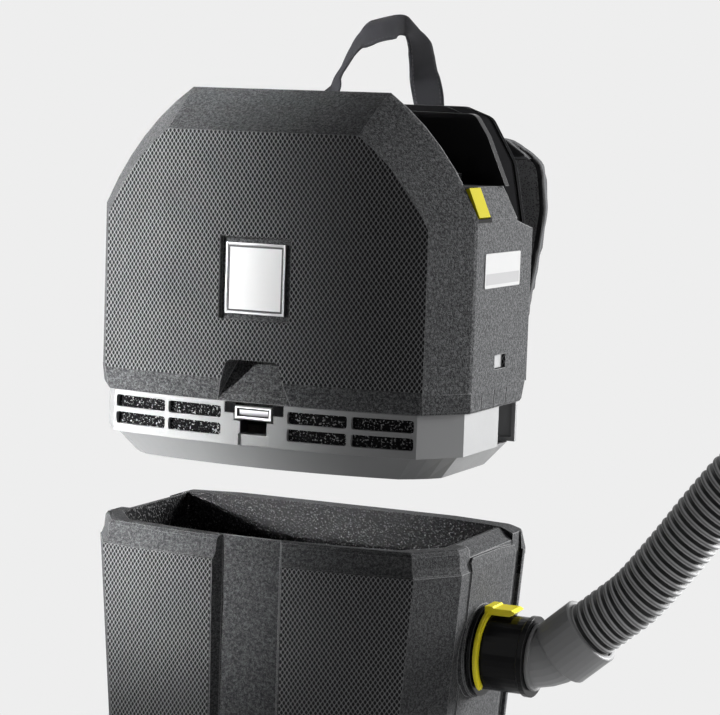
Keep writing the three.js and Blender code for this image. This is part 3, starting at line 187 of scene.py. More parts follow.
# ---------------- shader helper
class Shader:
    """A node material: a principled surface with short calls for the nodes that feed it."""

    def __init__(self, name, color=(0.5, 0.5, 0.5), roughness=0.5, metallic=0.0, specular=0.5):
        self.material = bpy.data.materials.new(name)
        self.material.use_nodes = True
        self.tree = self.material.node_tree
        self.tree.nodes.clear()
        self.out = self.node("ShaderNodeOutputMaterial")
        self.surface = self.node("ShaderNodeBsdfPrincipled")
        self.surface.inputs["Base Color"].default_value = (*color, 1)
        self.surface.inputs["Roughness"].default_value = roughness
        self.surface.inputs["Metallic"].default_value = metallic
        self.surface.inputs["Specular IOR Level"].default_value = specular
        self.link(self.surface.outputs[0], self.out.inputs["Surface"])
        self.place = self.node("ShaderNodeTexCoord").outputs["Object"]
        self.normal = None

    def node(self, kind):
        return self.tree.nodes.new(kind)

    def link(self, source, target):
        self.tree.links.new(source, target)

    def feed(self, target, value):
        """Gives a socket a number, a colour or another node's output."""
        if isinstance(value, (int, float)):
            target.default_value = value
        elif isinstance(value, tuple):
            target.default_value = (*value, 1)
        else:
            self.link(value, target)

    def math(self, operation, a, b=0.0, c=None):
        node = self.node("ShaderNodeMath")
        node.operation = operation
        self.feed(node.inputs[0], a)
        self.feed(node.inputs[1], b)
        if c is not None:
            self.feed(node.inputs[2], c)
        return node.outputs[0]

    def product(self, first, *others):
        for other in others:
            first = self.math("MULTIPLY", first, other)
        return first

    def wave(self, value, pitch):
        """A sine of that pitch in metres."""
        return self.math("SINE", self.product(value, 2 * math.pi / pitch))

    def axes(self, source=None):
        node = self.node("ShaderNodeSeparateXYZ")
        self.link(source or self.place, node.inputs[0])
        return node.outputs[0], node.outputs[1], node.outputs[2]

    def facing(self):
        """The face's own normal, as three values."""
        return self.axes(self.node("ShaderNodeNewGeometry").outputs["True Normal"])

    def smooth(self, value, low, high):
        """0 at low, 1 at high, with an eased slope between; high may be the lesser one."""
        node = self.node("ShaderNodeMapRange")
        node.interpolation_type = "SMOOTHSTEP"
        self.feed(node.inputs["Value"], value)
        node.inputs["From Min"].default_value = low
        node.inputs["From Max"].default_value = high
        return node.outputs[0]

    def inside(self, value, low, high, soft=0.6 * MM):
        """1 between low and high, with soft edges."""
        above = self.smooth(value, low - soft, low + soft)
        below = self.smooth(value, high + soft, high - soft)
        return self.product(above, below)

    def noise(self, scale, detail=2.0, place=None, roughness=0.5):
        node = self.node("ShaderNodeTexNoise")
        self.link(place or self.place, node.inputs["Vector"])
        node.inputs["Scale"].default_value = scale
        node.inputs["Detail"].default_value = detail
        node.inputs["Roughness"].default_value = roughness
        return node.outputs[0]

    def cells(self, scale, feature="F1"):
        node = self.node("ShaderNodeTexVoronoi")
        node.feature = feature
        self.link(self.place, node.inputs["Vector"])
        node.inputs["Scale"].default_value = scale
        return node.outputs["Distance"]

    def mix(self, amount, a, b):
        node = self.node("ShaderNodeMix")
        node.data_type = "RGBA"
        self.feed(node.inputs["Factor"], amount)
        self.feed(node.inputs[6], a)
        self.feed(node.inputs[7], b)
        return node.outputs[2]

    def color(self, value):
        self.feed(self.surface.inputs["Base Color"], value)

    def roughness(self, value):
        self.feed(self.surface.inputs["Roughness"], value)

    def attribute(self, name):
        node = self.node("ShaderNodeAttribute")
        node.attribute_name = name
        return node.outputs["Fac"]

    def round_edges(self, radius):
        node = self.node("ShaderNodeBevel")
        node.samples = 4
        node.inputs["Radius"].default_value = radius
        self.normal = node.outputs[0]
        self.link(self.normal, self.surface.inputs["Normal"])
        return self

    def edge_highlight(self, radius=0.7 * MM):
        """1 along sharp edges, where the rounded normal turns away from the face's own: the mask for a
        painted edge highlight.
        """
        bevel = self.node("ShaderNodeBevel")
        bevel.samples = 6
        bevel.inputs["Radius"].default_value = radius
        dot = self.node("ShaderNodeVectorMath")
        dot.operation = "DOT_PRODUCT"
        self.link(bevel.outputs[0], dot.inputs[0])
        self.link(self.node("ShaderNodeNewGeometry").outputs["True Normal"], dot.inputs[1])
        return self.smooth(dot.outputs["Value"], 0.985, 0.93)

    def bump(self, height, distance, strength=1.0):
        node = self.node("ShaderNodeBump")
        node.inputs["Strength"].default_value = strength
        node.inputs["Distance"].default_value = distance
        self.feed(node.inputs["Height"], height)
        if self.normal is not None:
            self.link(self.normal, node.inputs["Normal"])
        self.normal = node.outputs[0]
        self.link(self.normal, self.surface.inputs["Normal"])


def shade(color, factor):
    """The same colour, darker or lighter."""
    return tuple(min(1, channel * factor) for channel in color)


# ---------------- bead foam
# Scales of the grain are in features per metre.
FINE_GRAIN, COARSE_GRAIN, BEADS, PEBBLES = 1300, 520, 230, 560
FOAM_DARK = (0.022, 0.0225, 0.024)
HEAD_LIGHT = (0.13, 0.132, 0.135)
# the head's foam painted darker for the tub, as the shade that falls lower down
TUB_SPECKLE_SHADED = (0.1, 0.1015, 0.104)
# the colour of the painted highlight along the foam's edges
FOAM_EDGE_HIGHLIGHT = (0.3, 0.302, 0.306)
GAP_SHADE = (0.004, 0.004, 0.004)
# the net's pits and strands: painted shade and painted highlight on its relief
NET_PIT_SHADE = (0.012, 0.012, 0.013)
NET_STRAND_HIGHLIGHT = (0.2, 0.202, 0.206)
NET_WIDTH = 3.6 * MM
NET_HEIGHT = 5.1 * MM
PEBBLE_DARK = (0.003, 0.003, 0.0035)
# the colour of the painted glint on the pebbles
PEBBLE_GLINT = (0.17, 0.172, 0.176)

FRONTWARD = -0.96  # the y of a normal is below this on the front panels
PANEL_LOW = HEAD_LINE + 2 * MM
BADGE_HALF = 29 * MM  # the plain foam round the badge
BADGE_LOW = HEAD_LINE + 46.5 * MM
BADGE_HIGH = HEAD_LINE + 107.5 * MM
TUB_FRONT = -50 * MM  # the tub's front wall lies before this
TUB_MIDDLE = 7 * MM
TUB_PANEL_TOP = 188.6 * MM
TUB_CHANNEL_HALF = 29.9 * MM
TUB_FLOOR = 20 * MM
PORT_INNER = 141 * MM  # beyond this, and below PORT_TOP, the port's boss shows inside the tub
PORT_TOP = 170 * MM


def net_height(shader, across, up):
    """A net of fine raised diagonals with a pit in each mesh: 1 on the net, 0 in a pit."""
    column = shader.math("DIVIDE", across, NET_WIDTH)
    row = shader.math("DIVIDE", up, NET_HEIGHT)
    rising = shader.math("ABSOLUTE", shader.wave(shader.math("ADD", column, row), 2))
    falling = shader.math("ABSOLUTE", shader.wave(shader.math("SUBTRACT", column, row), 2))
    return shader.math("SUBTRACT", 1.0, shader.product(rising, falling))


def bead_skin(shader, light):
    """The foam's plain skin: its colour, its height and the fine grain that both hold."""
    fine = shader.noise(FINE_GRAIN, roughness=0.7)
    coarse = shader.noise(COARSE_GRAIN)
    beads = shader.cells(BEADS, "DISTANCE_TO_EDGE")
    speckle = shader.math("MULTIPLY_ADD", coarse, 0.45, shader.product(fine, 0.55))
    colour = shader.mix(shader.smooth(speckle, 0.38, 0.66), FOAM_DARK, light)
    colour = shader.mix(shader.product(shader.smooth(beads, 0.06, 0.0), 0.55), colour, FOAM_DARK)
    # a painted highlight along sharp edges
    colour = shader.mix(shader.product(shader.edge_highlight(1.1 * MM), 0.8), colour, FOAM_EDGE_HIGHLIGHT)
    height = shader.math("ADD", shader.product(shader.smooth(beads, 0.0, 0.1), 0.5), fine)
    return colour, height, fine


def netted_panel(shader, panel, colour, fine):
    """The colour with the mould's net where panel is 1, painted with highlights on its strands and shade in
    its pits, and the net's height there.
    """
    x, _, z = shader.axes()
    net = net_height(shader, x, z)
    strand_highlight = shader.product(shader.smooth(net, 0.5, 1.0), shader.math("MULTIPLY_ADD", fine, 1.5, 0.25))
    netted = shader.mix(strand_highlight, NET_PIT_SHADE, NET_STRAND_HIGHLIGHT)
    return shader.mix(panel, colour, netted), shader.product(net, panel)


def front_facing(shader):
    _, forward, _ = shader.facing()
    return shader.math("LESS_THAN", forward, FRONTWARD)


def head_panel(shader):
    """1 on the head's front panel, apart from the plain foam round the badge."""
    x, _, z = shader.axes()
    above = shader.math("GREATER_THAN", z, PANEL_LOW)
    badge = shader.product(shader.inside(x, -BADGE_HALF, BADGE_HALF), shader.inside(z, BADGE_LOW, BADGE_HIGH))
    return shader.product(front_facing(shader), above, shader.math("SUBTRACT", 1.0, badge))


def button_gap(shader):
    """1 in the gap round the release button, where shade is painted."""
    x, y, z = shader.axes()
    low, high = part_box("release_button")
    return shader.product(
        shader.inside(y, low.y - 1.5 * MM, high.y + 3.6 * MM, 0.3 * MM),
        shader.inside(z, low.z - 0.4 * MM, high.z + 2.2 * MM, 0.3 * MM),
        shader.math("GREATER_THAN", x, low.x))


def tub_panel(shader):
    """1 on the tub's two front panels, either side of its channel."""
    x, y, z = shader.axes()
    return shader.product(
        front_facing(shader),
        shader.math("LESS_THAN", y, TUB_FRONT),
        shader.math("LESS_THAN", z, TUB_PANEL_TOP),
        shader.math("GREATER_THAN", shader.math("ABSOLUTE", x), TUB_CHANNEL_HALF))


def tub_hollow(shader):
    """1 on the tub's floor and inner walls: a wall inside looks back at the tub's middle."""
    x, y, z = shader.axes()
    out_x, out_y, up = shader.facing()
    depth = shader.product(shader.math("SUBTRACT", y, TUB_MIDDLE), out_y)
    outward = shader.math("ADD", shader.product(x, out_x), depth)
    walls = shader.product(shader.math("LESS_THAN", outward, -0.02), shader.math("LESS_THAN", up, 0.5))
    beside = shader.math("GREATER_THAN", shader.math("ABSOLUTE", x), PORT_INNER)
    port = shader.product(beside, shader.math("LESS_THAN", z, PORT_TOP))
    floor = shader.product(shader.math("GREATER_THAN", up, 0.9), shader.math("LESS_THAN", z, TUB_FLOOR))
    return shader.math("MAXIMUM", shader.product(walls, shader.math("SUBTRACT", 1.0, port)), floor)


def finish_foam(shader, colour, height, net):
    shader.color(colour)
    shader.bump(height, 0.3 * MM, 0.7)
    shader.bump(net, 0.75 * MM, 0.9)
    return shader.material


def head_foam():
    """Bead foam with a net on its front panel and painted shade in the gap round the release button."""
    shader = Shader("head_foam", roughness=0.75, specular=0.05).round_edges(1.3 * MM)
    colour, height, fine = bead_skin(shader, HEAD_LIGHT)
    # painted shade in the gap round the button
    colour = shader.mix(button_gap(shader), colour, GAP_SHADE)
    colour, net = netted_panel(shader, head_panel(shader), colour, fine)
    return finish_foam(shader, colour, height, net)


def container_foam():
    """Bead foam painted darker than the head's as shade, with a net on its front panels, and glossy pebbles
    with painted glints inside the tub.
    """
    shader = Shader("container_foam", roughness=0.75, specular=0.1).round_edges(1.3 * MM)
    # the tub's foam painted darker than the head's, as shade
    colour, height, fine = bead_skin(shader, TUB_SPECKLE_SHADED)
    colour, net = netted_panel(shader, tub_panel(shader), colour, fine)
    hollow = tub_hollow(shader)
    pebbles = shader.smooth(shader.cells(PEBBLES, "SMOOTH_F1"), 0.5, 0.05)
    # painted glints on the pebbles' tops
    glint = shader.product(pebbles, shader.smooth(fine, 0.47, 0.62))
    colour = shader.mix(hollow, colour, shader.mix(glint, PEBBLE_DARK, PEBBLE_GLINT))
    shader.roughness(shader.math("MULTIPLY_ADD", hollow, -0.42, 0.75))
    height = shader.mix(hollow, height, shader.product(pebbles, 2.4))
    return finish_foam(shader, colour, height, net)


# ---------------- plastics and metals
def moulded(
        name, color, roughness=0.42, grain=0.12 * MM, edge=0.6 * MM, specular=0.4, highlight_strength=0.5, pale=None,
        pocket=None):
    """Fine-grained moulded plastic, a little uneven in its sheen, with a painted highlight along its edges.

    pocket is the half width, front, bottom and top of a recess whose inside is painted near black as shade.
    """
    shader = Shader(name, color, roughness, specular=specular).round_edges(edge)
    shader.roughness(shader.math("MULTIPLY_ADD", shader.noise(35, 3), 0.22, roughness - 0.11))
    tint = shader.mix(shader.noise(14), shade(color, 0.92), shade(color, 1.07))
    # the paler edge tone is a painted highlight along sharp edges
    pale = pale or tuple(channel + 0.01 for channel in shade(color, 1.5))
    tone = shader.mix(shader.product(shader.edge_highlight(), highlight_strength), tint, pale)
    if pocket:
        half, front, bottom, top = pocket
        x, y, z = shader.axes()
        sunk = shader.product(
            shader.inside(x, -half, half, 0.1 * MM), shader.inside(z, bottom, top, 0.1 * MM),
            shader.math("GREATER_THAN", y, front))
        # painted shade inside the recess, near black
        tone = shader.mix(sunk, tone, (0.003, 0.003, 0.003))
    shader.color(tone)
    shader.bump(shader.noise(1800), grain, 0.5)
    return shader.material


def ribbed_plastic():
    """Ribbed hose: painted shade in the valleys, and on each crest a painted highlight line either side of
    its duller top.
    """
    shader = Shader("hose_ribs", (0.2, 0.2, 0.2), 0.4, specular=0.3)
    crest = shader.attribute("crest")
    # painted shade in the valleys, and the crests painted light
    tone = shader.mix(shader.smooth(crest, 0.58, 0.76), (0.002, 0.002, 0.0025), (0.44, 0.442, 0.446))
    # a duller top, leaving a painted highlight line either side of it
    tone = shader.mix(shader.smooth(crest, 0.9, 0.96), tone, (0.16, 0.161, 0.164))
    # a thin painted highlight along the very top
    tone = shader.mix(shader.smooth(crest, 0.988, 0.998), tone, (0.3, 0.302, 0.306))
    shader.color(shader.mix(shader.product(shader.noise(60, 3), 0.3), tone, (0.1, 0.101, 0.103)))
    shader.roughness(shader.math("MULTIPLY_ADD", shader.noise(40, 3), 0.2, 0.36))
    shader.bump(shader.noise(1500), 0.05 * MM, 0.4)
    return shader.material


def sponge():
    """Open black foam, with some of its cell walls catching the light."""
    shader = Shader("sponge", roughness=0.95, specular=0.1)
    light = shader.smooth(shader.noise(700, 1, roughness=0.6), 0.585, 0.66)
    shader.color(shader.mix(light, (0.002, 0.002, 0.0025), (0.24, 0.242, 0.245)))
    shader.bump(shader.cells(560), 1.2 * MM)
    return shader.material


def brushed(name, color, roughness=0.3, stretch=(40, 900, 900)):
    """Metal with fine drawn lines along the axis of least stretch."""
    shader = Shader(name, color, roughness, metallic=1.0).round_edges(0.5 * MM)
    scale = shader.node("ShaderNodeVectorMath")
    scale.operation = "MULTIPLY"
    scale.inputs[1].default_value = stretch
    shader.link(shader.place, scale.inputs[0])
    lines = shader.noise(1.0, place=scale.outputs[0])
    shader.roughness(shader.math("MULTIPLY_ADD", lines, 0.25, roughness - 0.1))
    shader.color(shader.mix(lines, shade(color, 0.8), shade(color, 1.1)))
    shader.bump(lines, 0.02 * MM, 0.4)
    return shader.material


def silver_latch():
    """The latch's clip, with its reflections painted in: a bright frame, a dark line inside it, and a middle
    that grows darker towards its bottom.
    """
    shader = Shader("silver_latch", (0.5, 0.505, 0.51), 0.3, metallic=1.0).round_edges(0.6 * MM)
    low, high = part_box("latch_clip")
    x, y, z = shader.axes()

    def within(margin):
        return shader.product(
            shader.math("LESS_THAN", y, low.y + 3 * MM),
            shader.inside(x, low.x + margin, high.x - margin, 0.1 * MM),
            shader.inside(z, high.z - 9.6 * MM + margin, high.z - margin, 0.1 * MM))

    # painted reflection: the middle dark at its bottom and bright at its top
    reflection_gradient = shader.smooth(z, high.z - 7.4 * MM, high.z - 2.4 * MM)
    middle = shader.mix(reflection_gradient, (0.08, 0.081, 0.084), (0.55, 0.555, 0.56))
    tone = shader.mix(within(1.7 * MM), (0.62, 0.625, 0.63), (0.012, 0.012, 0.013))
    shader.color(shader.mix(within(2.6 * MM), tone, middle))
    shader.roughness(shader.math("MULTIPLY_ADD", shader.noise(200), 0.2, 0.25))
    shader.bump(shader.noise(900), 0.02 * MM, 0.4)
    return shader.material


# ---------------- cloths
SEAM_DARK = (0.006, 0.006, 0.0065)


def woven(name, color, thread=0.9 * MM, along=None, across=None):
    """Twill of flat threads. Where its mesh carries a strap's own run, it follows that and has stitches."""
    shader = Shader(name, color, 0.85, specular=0.08)
    x, y, z = shader.axes()
    run = shader.attribute(along) if along else shader.math("ADD", x, y)
    side = shader.attribute(across) if across else z
    twill = shader.wave(shader.math("ADD", run, shader.product(side, 0.8)), thread)
    ribs = shader.math("ABSOLUTE", shader.wave(side, thread / 0.6))
    height = shader.math("MULTIPLY_ADD", twill, 0.35, shader.math("MULTIPLY_ADD", ribs, 0.4, 0.4))
    height = shader.math("ADD", height, shader.product(shader.noise(900), 0.25))
    tone = shader.mix(shader.smooth(height, 0.2, 1.1), shade(color, 0.3), shade(color, 1.9))
    if across:
        row = shader.inside(shader.math("ABSOLUTE", side), 9.5 * MM, 10.2 * MM, 0.1 * MM)
        stitch = shader.product(row, shader.smooth(shader.wave(run, 3.4 * MM), -0.5, -0.2))
        tone = shader.mix(stitch, tone, (0.035, 0.035, 0.037))
        shader.bump(stitch, 0.5 * MM, 0.8)
    shader.color(tone)
    shader.bump(height, 0.25 * MM, 0.8)
    return shader.material


def spacer_mesh(shader, color):
    """Knitted spacer mesh: rows of small open holes. Gives its colour and its height."""
    height = shader.smooth(shader.cells(700), 0.12, 0.5)
    tone = shader.mix(shader.noise(45, 3), shade(color, 0.55), shade(color, 1.5))
    return shader.mix(height, shade(color, 0.12), tone), height


def pad_cloth(name, mesh_tone, cover_tone):
    """Padding: spacer mesh on the body's side, plain cloth outside, and a dark band where they are sewn.

    The mesh carries depth, from 0 on the body's side to 1 outside, and rim, the way to the nearest edge.
    """
    shader = Shader(name, roughness=0.85, specular=0.18)
    mesh_colour, mesh_height = spacer_mesh(shader, mesh_tone)
    x, y, z = shader.axes()
    threads = shader.product(shader.wave(shader.math("ADD", x, y), 1.1 * MM), shader.wave(z, 1.1 * MM))
    weave = shader.math("MULTIPLY_ADD", threads, 0.4, 0.5)
    cover = shader.mix(weave, shade(cover_tone, 0.5), shade(cover_tone, 1.6))
    backing = shader.mix(weave, SEAM_DARK, (0.03, 0.03, 0.032))
    depth = shader.attribute("depth")
    rim = shader.attribute("rim")
    outer = shader.smooth(depth, 0.25, 0.35)
    colour = shader.mix(outer, mesh_colour, shader.mix(shader.smooth(depth, 0.72, 0.86), cover, backing))
    edge = shader.product(shader.inside(rim, 0.0, 5.5 * MM, 0.3 * MM), shader.math("SUBTRACT", 1.0, outer))
    band = shader.math("MAXIMUM", edge, shader.inside(depth, 0.0, 0.34, 0.03))
    colour = shader.mix(band, colour, SEAM_DARK)
    seam = shader.inside(rim, 6.2 * MM, 7.6 * MM, 0.3 * MM)
    stitch = shader.smooth(shader.wave(shader.math("ADD", x, z), 4 * MM), -0.2, 0.2)
    shader.color(shader.mix(shader.product(seam, stitch, 0.7), colour, (0.09, 0.09, 0.092)))
    shader.bump(shader.mix(outer, mesh_height, shader.product(weave, 0.5)), 0.5 * MM, 0.8)
    shader.bump(seam, 0.8 * MM, -0.8)
    shader.bump(shader.noise(60, 3), 2.2 * MM, 0.5)
    return shader.material


# ---------------- paper, board and plates
def pleated_paper():
    shader = Shader("filter_paper", (0.75, 0.75, 0.72), 0.9, specular=0.2)
    fibres = shader.noise(700, 4)
    shader.color(shader.mix(fibres, (0.62, 0.62, 0.58), (0.82, 0.82, 0.79)))
    shader.bump(fibres, 0.2 * MM, 0.6)
    return shader.material


def circuit():
    shader = Shader("circuit_board", (0.01, 0.09, 0.04), 0.35)
    tracks = shader.math("GREATER_THAN", shader.noise(240, 0), 0.58)
    shader.color(shader.mix(tracks, (0.008, 0.075, 0.03), (0.03, 0.2, 0.09)))
    shader.bump(tracks, 0.05 * MM, 0.5)
    return shader.material


def badge_white():
    """A bare white plate with a thin dark line along its edge."""
    shader = Shader("badge_white", (0.8, 0.8, 0.8), 0.35)
    low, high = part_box("badge_plate")
    line = 1.4 * MM
    x, _, z = shader.axes()
    whole = shader.product(
        shader.inside(x, low.x + line, high.x - line, 0.1 * MM),
        shader.inside(z, low.z + line, high.z - line, 0.1 * MM))
    face = shader.mix(shader.noise(30), (0.56, 0.56, 0.565), (0.59, 0.59, 0.59))
    shader.color(shader.mix(whole, (0.012, 0.012, 0.013), face))
    shader.bump(shader.noise(1500), 0.05 * MM, 0.3)
    return shader.material


def label_print(low, high):
    """A bare white plate with a pale grey field low on it, and no words."""
    shader = Shader("label_print", (0.42, 0.42, 0.42), 0.35, specular=0.2)
    _, y, z = shader.axes()
    height = high.z - low.z
    margin = 2.2 * MM
    field = shader.product(
        shader.inside(y, low.y + margin, high.y - margin, 0.2 * MM),
        shader.inside(z, low.z + 0.1 * height, low.z + 0.42 * height, 0.2 * MM))
    face = shader.mix(shader.noise(30), (0.3, 0.3, 0.303), (0.33, 0.33, 0.33))
    shader.color(shader.mix(field, face, (0.22, 0.22, 0.223)))
    shader.bump(shader.noise(1500), 0.04 * MM, 0.3)
    return shader.material


# ---------------- the materials and who wears them
OWN_MATERIALS = {
    "head_shell": "head_foam", "container": "container_foam", "harness_plate": "black_matte",
    "vent_band": "band_plastic", "latch_clip": "silver_latch", "release_button": "yellow_button",
}


def make_materials():
    band_low, band_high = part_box("vent_band")
    clip_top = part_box("latch_clip")[1].z
    clip_pocket = (11.6 * MM, band_low.y + 1.6 * MM, clip_top - 20.7 * MM, band_high.z)
    grey = (0.2, 0.202, 0.205)
    # the painted edge highlight of the black plastics
    black_edge_highlight = (0.1, 0.101, 0.103)
    return {
        "head_foam": head_foam(),
        "container_foam": container_foam(),
        "grey_plastic": moulded("grey_plastic", grey),
        "band_plastic": moulded("band_plastic", grey, pocket=clip_pocket),
        "hose_plastic": moulded("hose_plastic", (0.215, 0.216, 0.219), 0.4, grain=0.04 * MM, edge=1.6 * MM),
        "hose_ribs": ribbed_plastic(),
        "black_plastic": moulded(
            "black_plastic", (0.0045, 0.0045, 0.005), 0.2, grain=0.04 * MM, edge=1.2 * MM, specular=0.11,
            highlight_strength=0.9, pale=black_edge_highlight),
        "black_matte": moulded(
            "black_matte", (0.009, 0.009, 0.0095), 0.85, grain=0.1 * MM, edge=0.8 * MM, specular=0.0,
            highlight_strength=0.9, pale=black_edge_highlight),
        "yellow": moulded(
            "yellow", (0.87, 0.74, 0.006), 0.32, grain=0.05 * MM, edge=0.5 * MM, highlight_strength=0.8,
            pale=(0.98, 0.9, 0.06)),
        "yellow_button": moulded(
            "yellow_button", (0.33, 0.29, 0.001), 0.5, grain=0.05 * MM, edge=0.8 * MM, specular=0.03,
            pale=(0.38, 0.34, 0.005)),
        "silver": brushed("silver", (0.3, 0.302, 0.305)),
        "silver_latch": silver_latch(),
        "steel": brushed("steel", (0.4, 0.4, 0.41), 0.35, stretch=(900, 900, 60)),
        "white_plastic": badge_white(),
        "filter_paper": pleated_paper(),
        "sponge": sponge(),
        "webbing": woven("webbing", (0.01, 0.01, 0.0115)),
        "strap_twill": woven("strap_twill", (0.011, 0.011, 0.0125), 1.0 * MM, "along", "across"),
        "mesh_fabric": pad_cloth("mesh_fabric", (0.06, 0.061, 0.064), (0.012, 0.012, 0.013)),
        "strap_cloth": pad_cloth("strap_cloth", (0.33, 0.333, 0.34), (0.07, 0.071, 0.074)),
        "piping": woven("piping", (0.012, 0.012, 0.013), 0.8 * MM),
        "circuit_board": circuit(),
    }


def dress_frame(materials):
    """Gives every CAD node its finished material: its own, or that of its slot in the record."""
    slots = {entry["node"]: entry["material_slot"] for entry in frame["record"]["subparts"]}
    for name, node in frame["nodes"].items():
        node.data.materials.clear()
        node.data.materials.append(materials[OWN_MATERIALS.get(name) or slots[name]])


# ---------------- mesh helpers
def make_object(name, verts, faces, material, smooth=True):
    mesh = bpy.data.meshes.new(name)
    mesh.from_pydata([tuple(v) for v in verts], [], faces)
    mesh.validate()
    if smooth:
        mesh.polygons.foreach_set("use_smooth", [True] * len(mesh.polygons))
    mesh.materials.append(material)
    obj = bpy.data.objects.new(name, mesh)
    bpy.context.collection.objects.link(obj)
    return obj


def skin(rings, sides, closed=False):
    """Faces between rings of points. An open run is capped at both ends, and a closed one meets itself."""
    faces = []
    for i in range(rings if closed else rings - 1):
        near, far = i * sides, (i + 1) % rings * sides
        for k in range(sides):
            j = (k + 1) % sides
            faces.append((near + k, near + j, far + j, far + k))
    if not closed:
        last = (rings - 1) * sides
        faces += [tuple(reversed(range(sides))), tuple(range(last, last + sides))]
    return faces


def spline(points, per_span=12):
    """Centripetal curve through points, as the CAD draws it."""
    pts = [Vector(p) for p in points]
    pts = [pts[0] * 2 - pts[1], *pts, pts[-1] * 2 - pts[-2]]
    line = []
    for p0, p1, p2, p3 in zip(pts, pts[1:], pts[2:], pts[3:]):
        t1 = (p1 - p0).length ** 0.5
        t2 = t1 + (p2 - p1).length ** 0.5
        t3 = t2 + (p3 - p2).length ** 0.5
        for i in range(per_span):
            t = t1 + (t2 - t1) * i / per_span
            a1 = p0 * ((t1 - t) / t1) + p1 * (t / t1)
            a2 = p1 * ((t2 - t) / (t2 - t1)) + p2 * ((t - t1) / (t2 - t1))
            a3 = p2 * ((t3 - t) / (t3 - t2)) + p3 * ((t - t2) / (t3 - t2))
            b1 = a1 * ((t2 - t) / t2) + a2 * (t / t2)
            b2 = a2 * ((t3 - t) / (t3 - t1)) + a3 * ((t - t1) / (t3 - t1))
            line.append(b1 * ((t2 - t) / (t2 - t1)) + b2 * ((t - t1) / (t2 - t1)))
    line.append(pts[-2])
    return line


def resample(line, step):
    """The same line in equal steps."""
    total = sum((b - a).length for a, b in zip(line, line[1:]))
    count = max(2, round(total / step))
    wanted = [total * i / count for i in range(count + 1)]
    out = []
    done = 0.0
    index = 0
    for goal in wanted:
        while index + 2 < len(line) and done + (line[index + 1] - line[index]).length < goal:
            done += (line[index + 1] - line[index]).length
            index += 1
        span = (line[index + 1] - line[index]).length
        out.append(line[index].lerp(line[index + 1], min(1, (goal - done) / span)))
    return out


def direction(line, i):
    """The unit direction of an open line at its point i."""
    return (line[min(i + 1, len(line) - 1)] - line[max(i - 1, 0)]).normalized()


def frames_along(line):
    """A turning-free pair of cross directions at each point of a line."""
    side = direction(line, 0).orthogonal().normalized()
    frames = []
    for i in range(len(line)):
        tangent = direction(line, i)
        side = (side - tangent * side.dot(tangent)).normalized()
        frames.append((side, tangent.cross(side)))
    return frames


def tree_of(points):
    tree = KDTree(len(points))
    for i, point in enumerate(points):
        tree.insert(point, i)
    tree.balance()
    return tree


# ---------------- hose
HOSE_ROUTE = [
    (240.7, 10, 150.1), (255.8, 10, 163.2), (273, 10, 178.3), (301, 10, 213.3), (326, 9.9, 247.7),
    (352.7, 9.4, 280.8), (384.3, 8.2, 309.1), (420.8, 5.4, 330.5), (460.5, -1.6, 343.6),
    (500.9, -13.7, 347.9), (539.9, -29.7, 343), (575.6, -47.7, 328.8), (606.9, -65.3, 306.4),
    (633.1, -80.4, 276.6), (653.1, -91.8, 240.9), (667.6, -99.9, 201.8), (679.8, -106.3, 161.6),
    (698.6, -113.5, 122.9), (725.7, -120, 89.5), (759.4, -125.3, 62.7), (797.5, -128.4, 42.9),
    (838.2, -128, 30), (878, -121, 23.6), (910.1, -110.1, 23), (946.8, -88.9, 23), (978, -60.1, 23),
    (1001.8, -25, 23), (1017, 14.6, 23), (1023.3, 56.6, 23), (1020.1, 98.9, 23), (1007.5, 139.3, 23),
    (985.9, 175.9, 23), (956.9, 206.8, 23), (921.7, 230.4, 23.1), (882.1, 245.1, 24), (836, 253, 26.5),
    (796, 253, 26.5),
]
ELBOW_TURN = math.radians(41)
HOSE_RADIUS = 22.4 * MM
HOSE_SOCKET = 9.6 * MM
HOSE_SIDES = 32
RIB_PITCH = 6.5 * MM
RIB_DEPTH = 4.2 * MM
RINGS_PER_RIB = 8


def hose_radius(along, turn):
    """Corrugations in one long helix: the radius, and how near it is to a crest's top."""
    crest = math.sin(math.pi * ((along / RIB_PITCH + turn) % 1.0))
    return HOSE_RADIUS - RIB_DEPTH * (1 - crest) ** 1.5, crest


def make_hose(materials):
    leaving = Vector((math.cos(ELBOW_TURN), 0, math.sin(ELBOW_TURN)))
    first = Vector(HOSE_ROUTE[0]) * MM
    points = [first - leaving * HOSE_SOCKET, *(Vector(p) * MM for p in HOSE_ROUTE)]
    line = resample(spline(points), RIB_PITCH / RINGS_PER_RIB)
    verts, crests = [], []
    along = 0.0
    for i, (centre, (side, up)) in enumerate(zip(line, frames_along(line))):
        if i:
            along += (centre - line[i - 1]).length
        for k in range(HOSE_SIDES):
            turn = k / HOSE_SIDES
            radius, crest = hose_radius(along, turn)
            crests.append(crest)
            angle = 2 * math.pi * turn
            verts.append(centre + side * (radius * math.cos(angle)) + up * (radius * math.sin(angle)))
    hose = make_object("suction_hose", verts, skin(len(line), HOSE_SIDES), materials["hose_ribs"])
    hose.data.attributes.new("crest", "FLOAT", "POINT").data.foreach_set("value", crests)
    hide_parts("hose_tube")
    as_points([tuple(p) for p in line[::4]] + [tuple(line[-1])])
    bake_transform(hose)


# ---------------- padded cloth
SHARP = 50  # degrees between two faces
CLOTH_STEPS = 20
CLOTH_PRESSURE = 4
SEAM_REACH = 8 * MM  # points this near an edge of the solid are drawn towards it
SEAM_PULL = 0.45


def world_copy(node, name, material):
    """An independent copy of a CAD node's mesh, in the row frame."""
    source = frame["nodes"][node]
    mesh = source.data.copy()
    mesh.transform(source.matrix_world)
    mesh.materials.clear()
    mesh.materials.append(material)
    obj = bpy.data.objects.new(name, mesh)
    bpy.context.collection.objects.link(obj)
    return obj


